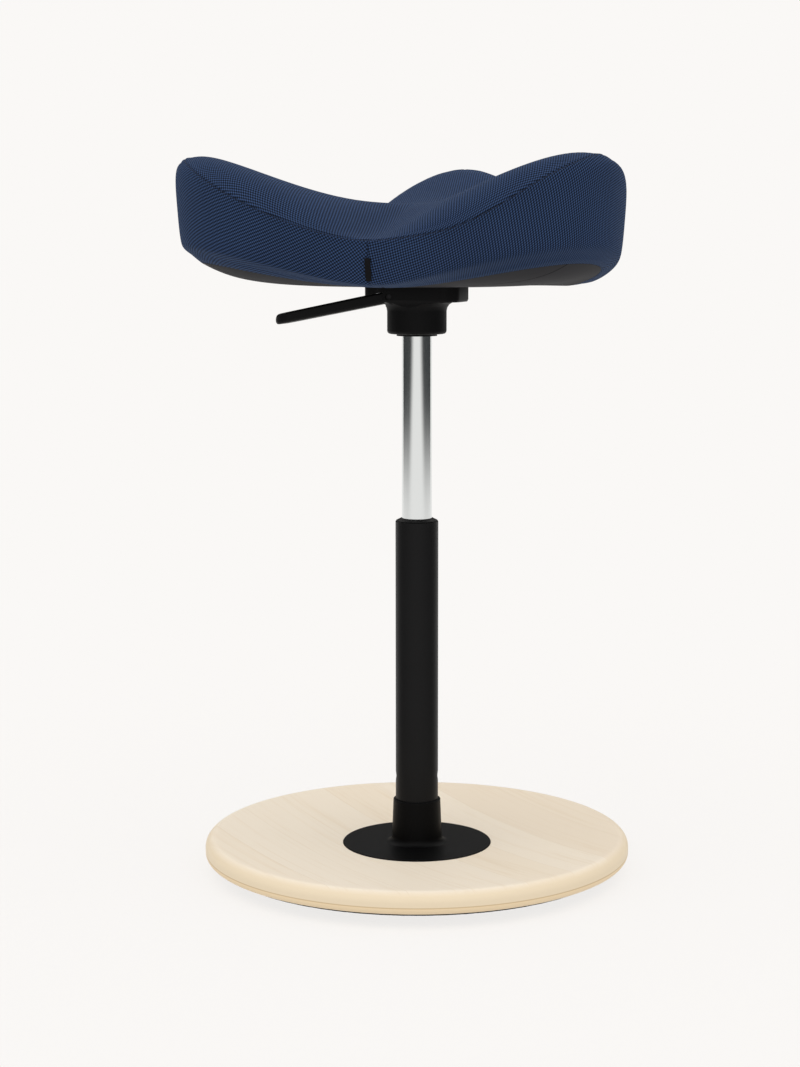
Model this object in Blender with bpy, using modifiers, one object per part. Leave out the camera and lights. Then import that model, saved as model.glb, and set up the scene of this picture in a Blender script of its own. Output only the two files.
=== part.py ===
# Saddle stool: a dished wooden foot, a gas spring and an upholstered saddle seat.
# Metres, +Z up. The origin lies on the column's axis where the foot meets the floor.
# The seat's front (its pommel) points to +Y and the lever to -X.

import bmesh
import bpy
from math import cos, pi, radians, sin, sqrt, tan
from mathutils import Matrix, Vector

# Shared fits
SEAT_GAP = 0.0003
OVERRUN = 0.002
SMOOTH_ANGLE = radians(32)
MERGE_DISTANCE = 0.00001

# Foot
DISC_RADIUS = 0.200
DISC_THICKNESS = 0.020
DISC_DISH_RADIUS = 1.68
DISC_TOP_ROUNDING = 0.0095
DISC_LOWER_ROUNDING = 0.0065
DISC_FLOOR_WOOD = 0.004
SOLE_INSET = 0.011
SOLE_THICKNESS = 0.002
SOLE_DOME_RADIUS = 1.70
SOLE_FLAT_RADIUS = 0.040
FLANGE_RADIUS = 0.070
FLANGE_THICKNESS = 0.005
FLANGE_PROUD = 0.0020
FLANGE_EDGE_ROUNDING = 0.0008
COLLAR_HEIGHT = 0.0415
COLLAR_TOP_RADIUS = 0.0222
COLLAR_FOOT_RADIUS = 0.0238
COLLAR_FILLET = 0.006
FLANGE_SCREW_CIRCLE = 0.054
FLANGE_SCREW_COUNT = 4
FLANGE_SCREW_RADIUS = 0.003
FLANGE_SCREW_HEAD_RADIUS = 0.006
FLANGE_SCREW_HEAD_HEIGHT = 0.0034
FLANGE_SCREW_RECESS = 0.0045
FLANGE_SCREW_THREAD_DEPTH = 0.0035

# Column
TUBE_RADIUS = 0.020
TUBE_WALL = 0.002
TUBE_LENGTH = 0.3190
TUBE_BORE_IN_DISC = 0.021
CROSS_HOLE_RADIUS = 0.0048
CROSS_HOLE_HEIGHT = 0.0635
FOOT_TURN = radians(15)
CAP_THICKNESS = 0.004
CAP_INSET = 0.0004
BUSHING_LENGTH = 0.100
BUSHING_CONE_HEIGHT = 0.0022
BUSHING_CONE_FOOT_RADIUS = 0.0194
BUSHING_CONE_EDGE = 0.0004
BUSHING_CONE_TOP_RADIUS = 0.0149
CYLINDER_RADIUS = 0.014
CYLINDER_WALL = 0.002
CYLINDER_CAP = 0.010
SHOWN_CHROME = 0.1705
TAPER_DROP = 0.0007
STROKE_DOWN = 0.165
STROKE_UP = 0.095
LEAD_IN = 0.0010

# Swivel bearing and the rod that it carries
ROD_RADIUS = 0.005
ROD_FOOT_RADIUS = 0.004
CLIP_GROOVE_DEPTH = 0.001
RACE_OUTER_RADIUS = 0.014
RACE_BORE_RADIUS = 0.006
RACE_THICKNESS = 0.002
BALL_RADIUS = 0.0018
BALL_COUNT = 9
CAGE_THICKNESS = 0.0016
CAGE_RIM = 0.0012
BUFFER_RADIUS = 0.0125
BUFFER_HEIGHT = 0.010
BUFFER_WAIST_DEPTH = 0.0015
WASHER_RADIUS = 0.010
WASHER_THICKNESS = 0.001
CLIP_RADIUS = 0.0065
CLIP_THICKNESS = 0.0008
CLIP_MOUTH = 0.0046
ROD_END_LENGTH = 0.0018
PISTON_HEIGHT = 0.012
PISTON_PLAY = 0.0004
PISTON_GROOVE_DEPTH = 0.0022
PISTON_RING_HEIGHT = 0.003
ROD_TAIL = 0.001
GUIDE_HEIGHT = 0.012
SEAL_HEIGHT = 0.006
MOUTH_LIP = 0.001

# Mechanism
BLOCK_WIDTH = 0.0835
BLOCK_DEPTH = 0.0595
BLOCK_HEIGHT = 0.0125
BLOCK_CORNER = 0.013
BLOCK_EDGE = 0.0006
NECK_RADIUS = 0.0275
NECK_HEIGHT = 0.0295
NECK_FLARE = 0.0085
NECK_EDGE = 0.003
NECK_LEDGE = 0.0015
BOSS_RADIUS = 0.0188
BOSS_HEIGHT = 0.0018
POCKET_WEB = 0.003
POCKET_FLOOR_DEPTH = 0.0165
POCKET_INNER_END = 0.0095
LEVER_SIDE_PLAY = 0.0015
SLOT_START = 0.0245
SKIRT_AT_EDGE = 0.0083
SKIRT_AT_START = 0.0045
HOUSING_SCREW_X = 0.0325
HOUSING_SCREW_Y = 0.0222
HOUSING_SCREW_RADIUS = 0.003
HOUSING_SCREW_HEAD_RADIUS = 0.0050
HOUSING_SCREW_HEAD_HEIGHT = 0.0024
HOUSING_SCREW_SEAT_DEPTH = 0.0034
HEX_SOCKET_RADIUS = 0.0023
HEX_SOCKET_DEPTH = 0.0014
PIVOT_RADIUS = 0.0025
PIVOT_INSET = 0.0190
PIVOT_DEPTH = 0.0092
PIVOT_END_DEPTH = 0.0015
PIVOT_GROOVE_DEPTH = 0.0005
PIVOT_CLIP_RADIUS = 0.0045
PIVOT_CLIP_THICKNESS = 0.0007
PIVOT_CLIP_MOUTH = 0.0034
VALVE_PIN_RADIUS = 0.004
VALVE_PIN_COLLAR_RADIUS = 0.006
VALVE_PIN_COLLAR_HEIGHT = 0.003
VALVE_PIN_EDGE = 0.0006

# Lever
LEVER_REACH = 0.1360
LEVER_TIP_DEPTH = 0.0312
LEVER_TIP_THICKNESS = 0.0082
LEVER_ROOT_TOP_DEPTH = 0.0046
LEVER_ROOT_THICKNESS = 0.0096
LEVER_ARM_THICKNESS = 0.0060
LEVER_ARM_OVER_PIN = 0.0065
LEVER_GRIP_HALF_WIDTH = 0.0170
LEVER_ROOT_HALF_WIDTH = 0.0120
LEVER_ARM_HALF_WIDTH = 0.0080
LEVER_TIP_ROUNDING = 0.0170
LEVER_NOSE_ROUNDING = 0.0040
LEVER_EDGE_ROUNDING = 0.0022

# Seat: five stations from the front round to the rear, 45 degrees apart.
# Heights are above the seat's flat underside.
FRONT_REACH = 0.194
SHOULDER_REACH = 0.174
SIDE_REACH = 0.191
LOBE_REACH = 0.218
REAR_REACH = 0.158
FRONT_CREST = 0.1105
SHOULDER_CREST = 0.0435
SIDE_CREST = 0.0775
LOBE_CREST = 0.1075
REAR_CREST = 0.0445
FRONT_FALL = -0.004
SHOULDER_FALL = 0.037
SIDE_FALL = 0.006
LOBE_FALL = 0.017
REAR_FALL = 0.0
FRONT_HEM = 0.0385
SHOULDER_HEM = 0.0105
SIDE_HEM = 0.0165
LOBE_HEM = 0.0335
REAR_HEM = 0.0045
MIDDLE_HEIGHT = 0.0765
MIDDLE_DIP = 0.004
SLOPE_DIP = 0.0025
CREST_SWELL = 0.002
SHOULDER_WIDTH = 0.031
SIDE_TAPER = 0.005
TUCK = 0.008
UNDERSIDE_MARGIN = 0.045
FABRIC_THICKNESS = 0.0014
SEAM_DEPTH = 0.0007
SEAM_WIDTH = 0.0022
COVER_THICKNESS = 0.0012
SHELL_THICKNESS = 0.009
LABEL_WIDTH = 0.005
LABEL_LENGTH = 0.0197
LABEL_THICKNESS = 0.0008
LABEL_DROP = 0.0154
TEE_NUT_BARREL_RADIUS = 0.004
TEE_NUT_FLANGE_RADIUS = 0.0085
TEE_NUT_FLANGE_THICKNESS = 0.0012

# Where the sewn lines run along a seat section, in steps of its control points
SEAM_STEP_SHARES = (4.0, 4.3, 3.2, 4.6, 5.0)
HEM_STEP_SHARE = 8.4
SHELL_STEP_SHARE = 8.95
FOAM_FOOT_STEP_SHARE = 8.62
LAST_STEP_SHARE = 12.0
NUDGE_SHARE = 0.01

# Shape of a seat section, as shares of its reach, climb, shoulder or tuck
INNER_SLOPE_SHARES = (0.36, 0.12)
OUTER_SLOPE_SHARES = (0.72, 0.60)
ROUNDING_SHARE = 0.30
TUCK_SHARES = (0.60, 0.55)
MARGIN_HEM_SHARE = 0.15
FLAT_SHARES = (0.45, 0.20)

# Rings of facets, as shares of a radius or of a stretch of the seat's section
DOME_SHARES = (1.0, 0.72, 0.46)
DISH_SHARES = (0.55, 0.75)
TOP_SHARES = (0, 0.18, 0.36, 0.54, 0.70, 0.85, 1)
SIDE_SHARES = (0, 0.22, 0.45, 0.65, 0.80, 0.91, 1)
SHELL_SHARES = (0, 0.2, 0.5, 1)
SCREW_TIP_SHARE = 0.2
LEVER_NOSE_SHARES = (0.003, 0.02, 0.07, 0.15, 0.28, 0.45, 0.7, 1)
LEVER_GRIP_SHARES = (0.33, 0.67, 1)
LEVER_EDGE_SHARE = 0.45
LABEL_SHARES = (0, 0.25, 0.5, 0.75, 1)

# Facets
DISC_SIDES = 64
TUBE_SIDES = 36
SMALL_SIDES = 18
SCREW_SIDES = 12
BALL_SIDES = 6
BALL_RINGS = 5
SEAT_SIDES = 40
ARC_STEPS = 3

SOLE_RADIUS = DISC_RADIUS - SOLE_INSET

# Heights of the stack, from the floor up
DISC_FLOOR = SOLE_THICKNESS + SEAT_GAP
FLANGE_TOP = DISC_FLOOR + DISC_THICKNESS + SEAT_GAP + FLANGE_PROUD
FLANGE_BOTTOM = FLANGE_TOP - FLANGE_THICKNESS
TUBE_BORE_FLOOR = DISC_FLOOR + DISC_FLOOR_WOOD
ROD_BOTTOM = TUBE_BORE_FLOOR + ROD_END_LENGTH
CLIP_BOTTOM = ROD_BOTTOM + ROD_END_LENGTH
WASHER_BOTTOM = CLIP_BOTTOM + CLIP_THICKNESS + SEAT_GAP
CAP_BOTTOM = WASHER_BOTTOM + WASHER_THICKNESS + SEAT_GAP
CAP_TOP = CAP_BOTTOM + CAP_THICKNESS
TUBE_BOTTOM = CAP_BOTTOM - CAP_INSET
TUBE_TOP = TUBE_BOTTOM + TUBE_LENGTH
LOWER_RACE_BOTTOM = CAP_TOP + SEAT_GAP
BALL_CENTRE = LOWER_RACE_BOTTOM + RACE_THICKNESS + SEAT_GAP + BALL_RADIUS
UPPER_RACE_BOTTOM = BALL_CENTRE + BALL_RADIUS + SEAT_GAP
ROD_SHOULDER = UPPER_RACE_BOTTOM + RACE_THICKNESS + SEAT_GAP
BUFFER_TOP = ROD_SHOULDER + BUFFER_HEIGHT
CYLINDER_BOTTOM = BUFFER_TOP + SEAT_GAP + STROKE_DOWN
GUIDE_BOTTOM = CYLINDER_BOTTOM + MOUTH_LIP
SEAL_BOTTOM = GUIDE_BOTTOM + GUIDE_HEIGHT + SEAT_GAP
PISTON_BOTTOM = SEAL_BOTTOM + SEAL_HEIGHT + SEAT_GAP + STROKE_UP
PISTON_TOP = PISTON_BOTTOM + PISTON_HEIGHT
BUSHING_TOP = TUBE_TOP + SEAT_GAP + BUSHING_CONE_EDGE + BUSHING_CONE_HEIGHT
BOSS_BOTTOM = BUSHING_TOP + SHOWN_CHROME
NECK_BOTTOM = BOSS_BOTTOM + BOSS_HEIGHT
BLOCK_BOTTOM = NECK_BOTTOM + NECK_HEIGHT
BLOCK_TOP = BLOCK_BOTTOM + BLOCK_HEIGHT
SEAT_FLAT = BLOCK_TOP + SEAT_GAP
POCKET_FLOOR = BLOCK_TOP - POCKET_FLOOR_DEPTH
POCKET_CEILING = BLOCK_TOP - POCKET_WEB
CYLINDER_TOP = POCKET_FLOOR - SEAT_GAP
PIVOT_HEIGHT = BLOCK_TOP - PIVOT_DEPTH
VALVE_PIN_TOP = PIVOT_HEIGHT - LEVER_ARM_THICKNESS / 2 - SEAT_GAP
POCKET_HALF_WIDTH = LEVER_ROOT_HALF_WIDTH + LEVER_SIDE_PLAY
SCREW_SEAT = BLOCK_TOP - HOUSING_SCREW_SEAT_DEPTH
SHELL_BOTTOM = SEAT_FLAT + COVER_THICKNESS + SEAT_GAP
SHELL_TOP = SHELL_BOTTOM + SHELL_THICKNESS

REACHES = (FRONT_REACH, SHOULDER_REACH, SIDE_REACH, LOBE_REACH, REAR_REACH)
CRESTS = (FRONT_CREST, SHOULDER_CREST, SIDE_CREST, LOBE_CREST, REAR_CREST)
FALLS = (FRONT_FALL, SHOULDER_FALL, SIDE_FALL, LOBE_FALL, REAR_FALL)
HEMS = (FRONT_HEM, SHOULDER_HEM, SIDE_HEM, LOBE_HEM, REAR_HEM)


def clear_scene():
    for item in list(bpy.data.objects):
        bpy.data.objects.remove(item, do_unlink=True)


def new_collection(name):
    group = bpy.data.collections.new(name)
    bpy.context.scene.collection.children.link(group)
    return group


def new_material(name, colour, roughness, metallic=0.0):
    material = bpy.data.materials.new(name)
    material.use_nodes = True
    shader = material.node_tree.nodes["Principled BSDF"]
    shader.inputs["Base Color"].default_value = (*colour, 1.0)
    shader.inputs["Roughness"].default_value = roughness
    shader.inputs["Metallic"].default_value = metallic
    material.diffuse_color = (*colour, 1.0)
    return material


def place_object(name, mesh, group, material=None):
    item = bpy.data.objects.new(name, mesh)
    group.objects.link(item)
    if material:
        mesh.materials.append(material)
    return item


def bake(item):
    # Keeps the object's mesh as its modifiers leave it.
    depsgraph = bpy.context.evaluated_depsgraph_get()
    mesh = bpy.data.meshes.new_from_object(item.evaluated_get(depsgraph), depsgraph=depsgraph)
    old = item.data
    item.modifiers.clear()
    item.data = mesh
    if old.users == 0:
        bpy.data.meshes.remove(old)


def finish(item):
    bake(item)
    item.data.shade_smooth()
    item.data.set_sharp_from_angle(angle=SMOOTH_ANGLE)


def rounded(corners):
    # Replaces each corner (x, z, radius) of a profile with an arc that touches both its sides.
    points = []
    for index, corner in enumerate(corners):
        here = Vector(corner[:2])
        if len(corner) == 2:
            points.append(here)
            continue
        before = Vector(corners[index - 1][:2])
        after = Vector(corners[(index + 1) % len(corners)][:2])
        back = (before - here).normalized()
        ahead = (after - here).normalized()
        half = back.angle(ahead) / 2
        centre = here + (back + ahead).normalized() * corner[2] / sin(half)
        start = here + back * corner[2] / tan(half) - centre
        sweep = start.angle_signed(here + ahead * corner[2] / tan(half) - centre)
        for step in range(ARC_STEPS + 1):
            turned_by = Matrix.Rotation(-sweep * step / ARC_STEPS, 2)
            points.append(centre + turned_by @ start)
    return points


def turned(name, profile, sides, group, material=None, closed=True):
    # A profile of (radius, height) points, listed down its outer side, spun round the Z axis.
    mesh = bpy.data.meshes.new(name)
    points = [(point[0], 0, point[1]) for point in profile]
    edges = [(index, index + 1) for index in range(len(points) - 1)]
    if closed:
        edges.append((len(points) - 1, 0))
    mesh.from_pydata(points, edges, [])
    item = place_object(name, mesh, group, material)
    spin = item.modifiers.new("Spin", "SCREW")
    spin.axis = "Z"
    spin.steps = sides
    spin.render_steps = sides
    spin.use_merge_vertices = True
    spin.merge_threshold = MERGE_DISTANCE
    bake(item)
    return item


def disc(name, radius, bottom, top, sides, group, material=None):
    profile = [(0, top), (radius, top), (radius, bottom), (0, bottom)]
    return turned(name, profile, sides, group, material, closed=False)


def ring(name, radius, bore, bottom, top, sides, group, material=None):
    profile = [(radius, top), (radius, bottom), (bore, bottom), (bore, top)]
    return turned(name, profile, sides, group, material)


def box(name, low, high, group):
    mesh = bpy.data.meshes.new(name)
    shape = bmesh.new()
    bmesh.ops.create_cube(shape, size=1)
    size = Vector(high) - Vector(low)
    middle = (Vector(high) + Vector(low)) / 2
    placing = Matrix.Translation(middle) @ Matrix.Diagonal((*size, 1))
    bmesh.ops.transform(shape, matrix=placing, verts=shape.verts)
    shape.to_mesh(mesh)
    shape.free()
    return place_object(name, mesh, group)


def hide_cutter(item):
    item.hide_render = True
    item.display_type = "WIRE"


def combine(item, other, operation):
    step = item.modifiers.new(operation.title(), "BOOLEAN")
    step.operation = operation
    step.solver = "EXACT"
    step.object = other
    bake(item)


def cut(item, cutter):
    hide_cutter(cutter)
    combine(item, cutter, "DIFFERENCE")


def lay_along_y(item):
    # Turns a piece that was spun round Z about its own centre line so that it lies along Y.
    item.data.transform(Matrix.Rotation(-pi / 2, 4, "X"))


def rise(radius, dome):
    return dome - sqrt(dome * dome - radius * radius)


def sole_floor(radius):
    if radius <= SOLE_FLAT_RADIUS:
        return 0.0
    return rise(radius, SOLE_DOME_RADIUS) - rise(SOLE_FLAT_RADIUS, SOLE_DOME_RADIUS)


def disc_top(radius):
    return DISC_FLOOR + DISC_THICKNESS + rise(radius, DISC_DISH_RADIUS)


def around_circle(count, radius, offset):
    for index in range(count):
        angle = 2 * pi * index / count + offset
        yield index, Vector((radius * cos(angle), radius * sin(angle), 0))


def dome_points(lift):
    # The underside's dome from the sole's rim to the axis, raised by a lift
    points = [(SOLE_RADIUS * share, sole_floor(SOLE_RADIUS * share) + lift) for share in DOME_SHARES]
    return points + [(SOLE_FLAT_RADIUS, lift), (0, lift)]


def make_sole(parts, rubber):
    profile = dome_points(SOLE_THICKNESS)[::-1] + dome_points(0)
    finish(turned("rubber_sole", profile, DISC_SIDES, parts, rubber, closed=False))


def make_disc(parts, cutters, wood):
    pocket_radius = FLANGE_RADIUS + SEAT_GAP
    corners = [(0, TUBE_BORE_FLOOR), (TUBE_BORE_IN_DISC, TUBE_BORE_FLOOR)]
    corners += [(TUBE_BORE_IN_DISC, FLANGE_BOTTOM - SEAT_GAP), (pocket_radius, FLANGE_BOTTOM - SEAT_GAP)]
    corners += [(pocket_radius, disc_top(pocket_radius))]
    corners += [(DISC_RADIUS * share, disc_top(DISC_RADIUS * share)) for share in DISH_SHARES]
    corners += [(DISC_RADIUS, disc_top(DISC_RADIUS), DISC_TOP_ROUNDING)]
    corners += [(DISC_RADIUS, sole_floor(DISC_RADIUS) + DISC_FLOOR, DISC_LOWER_ROUNDING)]
    corners += dome_points(DISC_FLOOR)
    item = turned("base_disc", rounded(corners), DISC_SIDES, parts, wood, closed=False)
    for index, spot in around_circle(FLANGE_SCREW_COUNT, FLANGE_SCREW_CIRCLE, pi / 4 + FOOT_TURN):
        recess_top = sole_floor(FLANGE_SCREW_CIRCLE) + DISC_FLOOR + FLANGE_SCREW_RECESS
        profile = [(0, FLANGE_BOTTOM + OVERRUN)]
        profile += [(FLANGE_SCREW_RADIUS + SEAT_GAP, FLANGE_BOTTOM + OVERRUN)]
        profile += [(FLANGE_SCREW_RADIUS + SEAT_GAP, recess_top)]
        profile += [(FLANGE_SCREW_HEAD_RADIUS + SEAT_GAP, recess_top)]
        profile += [(FLANGE_SCREW_HEAD_RADIUS + SEAT_GAP, DISC_FLOOR - OVERRUN), (0, DISC_FLOOR - OVERRUN)]
        cutter = turned(f"disc_screw_cut_{index + 1}", profile, SCREW_SIDES, cutters, closed=False)
        cutter.data.transform(Matrix.Translation(spot))
        cut(item, cutter)
    finish(item)


def make_flange(parts, cutters, steel):
    bore = TUBE_RADIUS + SEAT_GAP
    collar_top = FLANGE_TOP + COLLAR_HEIGHT
    corners = [(COLLAR_TOP_RADIUS, collar_top, FLANGE_EDGE_ROUNDING)]
    corners += [(COLLAR_FOOT_RADIUS, FLANGE_TOP, COLLAR_FILLET)]
    corners += [(FLANGE_RADIUS, FLANGE_TOP, FLANGE_EDGE_ROUNDING), (FLANGE_RADIUS, FLANGE_BOTTOM)]
    corners += [(bore, FLANGE_BOTTOM), (bore, collar_top)]
    item = turned("base_flange", rounded(corners), TUBE_SIDES, parts, steel)
    for index, spot in around_circle(FLANGE_SCREW_COUNT, FLANGE_SCREW_CIRCLE, pi / 4 + FOOT_TURN):
        hole_top = FLANGE_BOTTOM + FLANGE_SCREW_THREAD_DEPTH
        cutter = disc(f"flange_screw_cut_{index + 1}", FLANGE_SCREW_RADIUS + SEAT_GAP,
                      FLANGE_BOTTOM - OVERRUN, hole_top, SCREW_SIDES, cutters)
        cutter.data.transform(Matrix.Translation(spot))
        cut(item, cutter)
    finish(item)


def screw_profile(radius, head_radius, head_height, seat, tip, socket):
    # A screw that is driven from below: its head lies under the seat height.
    head_bottom = seat - head_height
    chamfer = radius * SCREW_TIP_SHARE
    profile = [(0, tip), (radius - chamfer, tip), (radius, tip - chamfer), (radius, seat)]
    profile += [(head_radius, seat), (head_radius, head_bottom)]
    socket_top = head_bottom + socket[1]
    profile += [(socket[0], head_bottom), (socket[0], socket_top), (0, socket_top)]
    return profile


def make_flange_screws(parts, steel):
    seat = sole_floor(FLANGE_SCREW_CIRCLE) + DISC_FLOOR + FLANGE_SCREW_RECESS - SEAT_GAP
    tip = FLANGE_BOTTOM + FLANGE_SCREW_THREAD_DEPTH - SEAT_GAP
    socket = (HEX_SOCKET_RADIUS, HEX_SOCKET_DEPTH)
    profile = screw_profile(FLANGE_SCREW_RADIUS, FLANGE_SCREW_HEAD_RADIUS, FLANGE_SCREW_HEAD_HEIGHT,
                            seat, tip, socket)
    for index, spot in around_circle(FLANGE_SCREW_COUNT, FLANGE_SCREW_CIRCLE, pi / 4 + FOOT_TURN):
        item = turned(f"flange_screw_{index + 1}", profile, SCREW_SIDES, parts, steel, closed=False)
        item.location = spot
        finish(item)


def make_tube(parts, cutters, steel):
    bore = TUBE_RADIUS - TUBE_WALL
    item = ring("outer_tube", TUBE_RADIUS, bore, TUBE_BOTTOM, TUBE_TOP, TUBE_SIDES, parts, steel)
    through = TUBE_RADIUS + OVERRUN
    drill = disc("cross_hole_cut", CROSS_HOLE_RADIUS, -through, through, SMALL_SIDES, cutters)
    drill.rotation_euler = (0, pi / 2, FOOT_TURN)
    drill.location = (0, 0, FLANGE_TOP + CROSS_HOLE_HEIGHT)
    cut(item, drill)
    finish(item)


def make_cap(parts, steel):
    bore = ROD_FOOT_RADIUS + SEAT_GAP
    radius = TUBE_RADIUS - TUBE_WALL - SEAT_GAP
    finish(ring("tube_end_cap", radius, bore, CAP_BOTTOM, CAP_TOP, SMALL_SIDES, parts, steel))


def make_bushing(parts, plastic):
    outer = TUBE_RADIUS - TUBE_WALL - SEAT_GAP
    bore = CYLINDER_RADIUS + SEAT_GAP
    lip = TUBE_TOP + SEAT_GAP
    profile = [(BUSHING_CONE_TOP_RADIUS, BUSHING_TOP)]
    profile += [(BUSHING_CONE_FOOT_RADIUS, lip + BUSHING_CONE_EDGE), (BUSHING_CONE_FOOT_RADIUS, lip)]
    profile += [(outer, lip), (outer, TUBE_TOP - BUSHING_LENGTH)]
    profile += [(bore, TUBE_TOP - BUSHING_LENGTH), (bore, BUSHING_TOP)]
    finish(turned("guide_bushing", profile, TUBE_SIDES, parts, plastic))


def make_bearing(parts, cutters, steel, brass):
    lower_top = LOWER_RACE_BOTTOM + RACE_THICKNESS
    finish(ring("lower_race", RACE_OUTER_RADIUS, RACE_BORE_RADIUS, LOWER_RACE_BOTTOM, lower_top,
                SMALL_SIDES, parts, steel))
    upper_top = UPPER_RACE_BOTTOM + RACE_THICKNESS
    finish(ring("upper_race", RACE_OUTER_RADIUS, ROD_FOOT_RADIUS + SEAT_GAP, UPPER_RACE_BOTTOM, upper_top,
                SMALL_SIDES, parts, steel))
    ball_circle = (RACE_OUTER_RADIUS + RACE_BORE_RADIUS) / 2
    cage_half = BALL_RADIUS + CAGE_RIM
    cage_bottom = BALL_CENTRE - CAGE_THICKNESS / 2
    cage = ring("ball_cage", ball_circle + cage_half, ball_circle - cage_half,
                cage_bottom, cage_bottom + CAGE_THICKNESS, SMALL_SIDES, parts, brass)
    for index, spot in around_circle(BALL_COUNT, ball_circle, 0):
        profile = [(BALL_RADIUS * sin(pi * step / BALL_RINGS), BALL_RADIUS * cos(pi * step / BALL_RINGS))
                   for step in range(BALL_RINGS + 1)]
        profile[-1] = (0, -BALL_RADIUS)
        ball = turned(f"ball_{index + 1}", profile, BALL_SIDES, cutters, closed=False)
        ball.location = spot + Vector((0, 0, BALL_CENTRE))
        hide_cutter(ball)
        combine(cage, ball, "UNION")
    finish(cage)


def make_buffer(parts, rubber):
    bore = ROD_RADIUS + SEAT_GAP
    waist = BUFFER_RADIUS - BUFFER_WAIST_DEPTH
    middle = (ROD_SHOULDER + BUFFER_TOP) / 2
    profile = [(BUFFER_RADIUS, BUFFER_TOP), (waist, middle), (BUFFER_RADIUS, ROD_SHOULDER)]
    profile += [(bore, ROD_SHOULDER), (bore, BUFFER_TOP)]
    finish(turned("buffer_ring", profile, SMALL_SIDES, parts, rubber))


def make_rod(parts, steel):
    groove = ROD_FOOT_RADIUS - CLIP_GROOVE_DEPTH
    groove_low = CLIP_BOTTOM - SEAT_GAP
    groove_high = CLIP_BOTTOM + CLIP_THICKNESS + SEAT_GAP
    top = PISTON_TOP + SEAT_GAP + ROD_TAIL
    profile = [(0, top), (ROD_FOOT_RADIUS, top)]
    profile += [(ROD_FOOT_RADIUS, PISTON_BOTTOM - SEAT_GAP), (ROD_RADIUS, PISTON_BOTTOM - SEAT_GAP)]
    profile += [(ROD_RADIUS, ROD_SHOULDER), (ROD_FOOT_RADIUS, ROD_SHOULDER), (ROD_FOOT_RADIUS, groove_high)]
    profile += [(groove, groove_high), (groove, groove_low), (ROD_FOOT_RADIUS, groove_low)]
    profile += [(ROD_FOOT_RADIUS, ROD_BOTTOM), (0, ROD_BOTTOM)]
    finish(turned("piston_rod", profile, SMALL_SIDES, parts, steel, closed=False))


def split_ring(name, radius, bore, thickness, mouth, parts, cutters, steel):
    # A flat spring clip round the origin whose mouth opens towards +X
    clip = ring(name, radius, bore, 0, thickness, SMALL_SIDES, parts, steel)
    low = (0, -mouth / 2, -OVERRUN)
    high = (radius + OVERRUN, mouth / 2, thickness + OVERRUN)
    cut(clip, box(name + "_mouth", low, high, cutters))
    return clip


def make_rod_fasteners(parts, cutters, steel):
    bore = ROD_FOOT_RADIUS + SEAT_GAP
    finish(ring("rod_washer", WASHER_RADIUS, bore, WASHER_BOTTOM, WASHER_BOTTOM + WASHER_THICKNESS,
                SMALL_SIDES, parts, steel))
    clip_bore = ROD_FOOT_RADIUS - CLIP_GROOVE_DEPTH + SEAT_GAP
    clip = split_ring("rod_clip", CLIP_RADIUS, clip_bore, CLIP_THICKNESS, CLIP_MOUTH, parts, cutters, steel)
    clip.location = (0, 0, CLIP_BOTTOM)
    finish(clip)


def make_piston(parts, aluminium, rubber):
    bore = ROD_FOOT_RADIUS + SEAT_GAP
    radius = CYLINDER_RADIUS - CYLINDER_WALL - PISTON_PLAY
    groove = radius - PISTON_GROOVE_DEPTH
    middle = (PISTON_BOTTOM + PISTON_TOP) / 2
    low = middle - PISTON_RING_HEIGHT / 2
    high = middle + PISTON_RING_HEIGHT / 2
    profile = [(radius, PISTON_TOP), (radius, high + SEAT_GAP), (groove, high + SEAT_GAP)]
    profile += [(groove, low - SEAT_GAP), (radius, low - SEAT_GAP), (radius, PISTON_BOTTOM)]
    profile += [(bore, PISTON_BOTTOM), (bore, PISTON_TOP)]
    finish(turned("piston", profile, SMALL_SIDES, parts, aluminium))
    finish(ring("piston_ring", radius, groove + SEAT_GAP, low, high, SMALL_SIDES, parts, rubber))


def socket_radius(height):
    # Radius of the cylinder's taper, which starts at the boss and ends at the cylinder's top
    share = (height - BOSS_BOTTOM) / (CYLINDER_TOP - BOSS_BOTTOM)
    return CYLINDER_RADIUS - TAPER_DROP * share


def make_cylinder(parts, chrome):
    bore = CYLINDER_RADIUS - CYLINDER_WALL
    pin_bore = VALVE_PIN_RADIUS + SEAT_GAP
    cap_bottom = CYLINDER_TOP - CYLINDER_CAP
    lead = CYLINDER_TOP - LEAD_IN
    profile = [(socket_radius(CYLINDER_TOP) - LEAD_IN / 2, CYLINDER_TOP), (socket_radius(lead), lead)]
    profile += [(CYLINDER_RADIUS, BOSS_BOTTOM), (CYLINDER_RADIUS, CYLINDER_BOTTOM + LEAD_IN)]
    profile += [(CYLINDER_RADIUS - LEAD_IN / 2, CYLINDER_BOTTOM), (bore, CYLINDER_BOTTOM)]
    profile += [(bore, cap_bottom), (pin_bore, cap_bottom), (pin_bore, CYLINDER_TOP)]
    finish(turned("gas_cylinder", profile, TUBE_SIDES, parts, chrome))


def make_rod_guide(parts, plastic, rubber):
    outer = CYLINDER_RADIUS - CYLINDER_WALL - SEAT_GAP
    bore = ROD_RADIUS + SEAT_GAP
    guide_top = GUIDE_BOTTOM + GUIDE_HEIGHT
    finish(ring("rod_guide", outer, bore, GUIDE_BOTTOM, guide_top, SMALL_SIDES, parts, plastic))
    lip = (outer + bore) / 2
    top = SEAL_BOTTOM + SEAL_HEIGHT
    profile = [(outer, top), (outer, SEAL_BOTTOM), (bore, SEAL_BOTTOM), (bore, top)]
    profile += [(lip, top - SEAL_HEIGHT / 3)]
    finish(turned("rod_seal", profile, SMALL_SIDES, parts, rubber))


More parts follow.
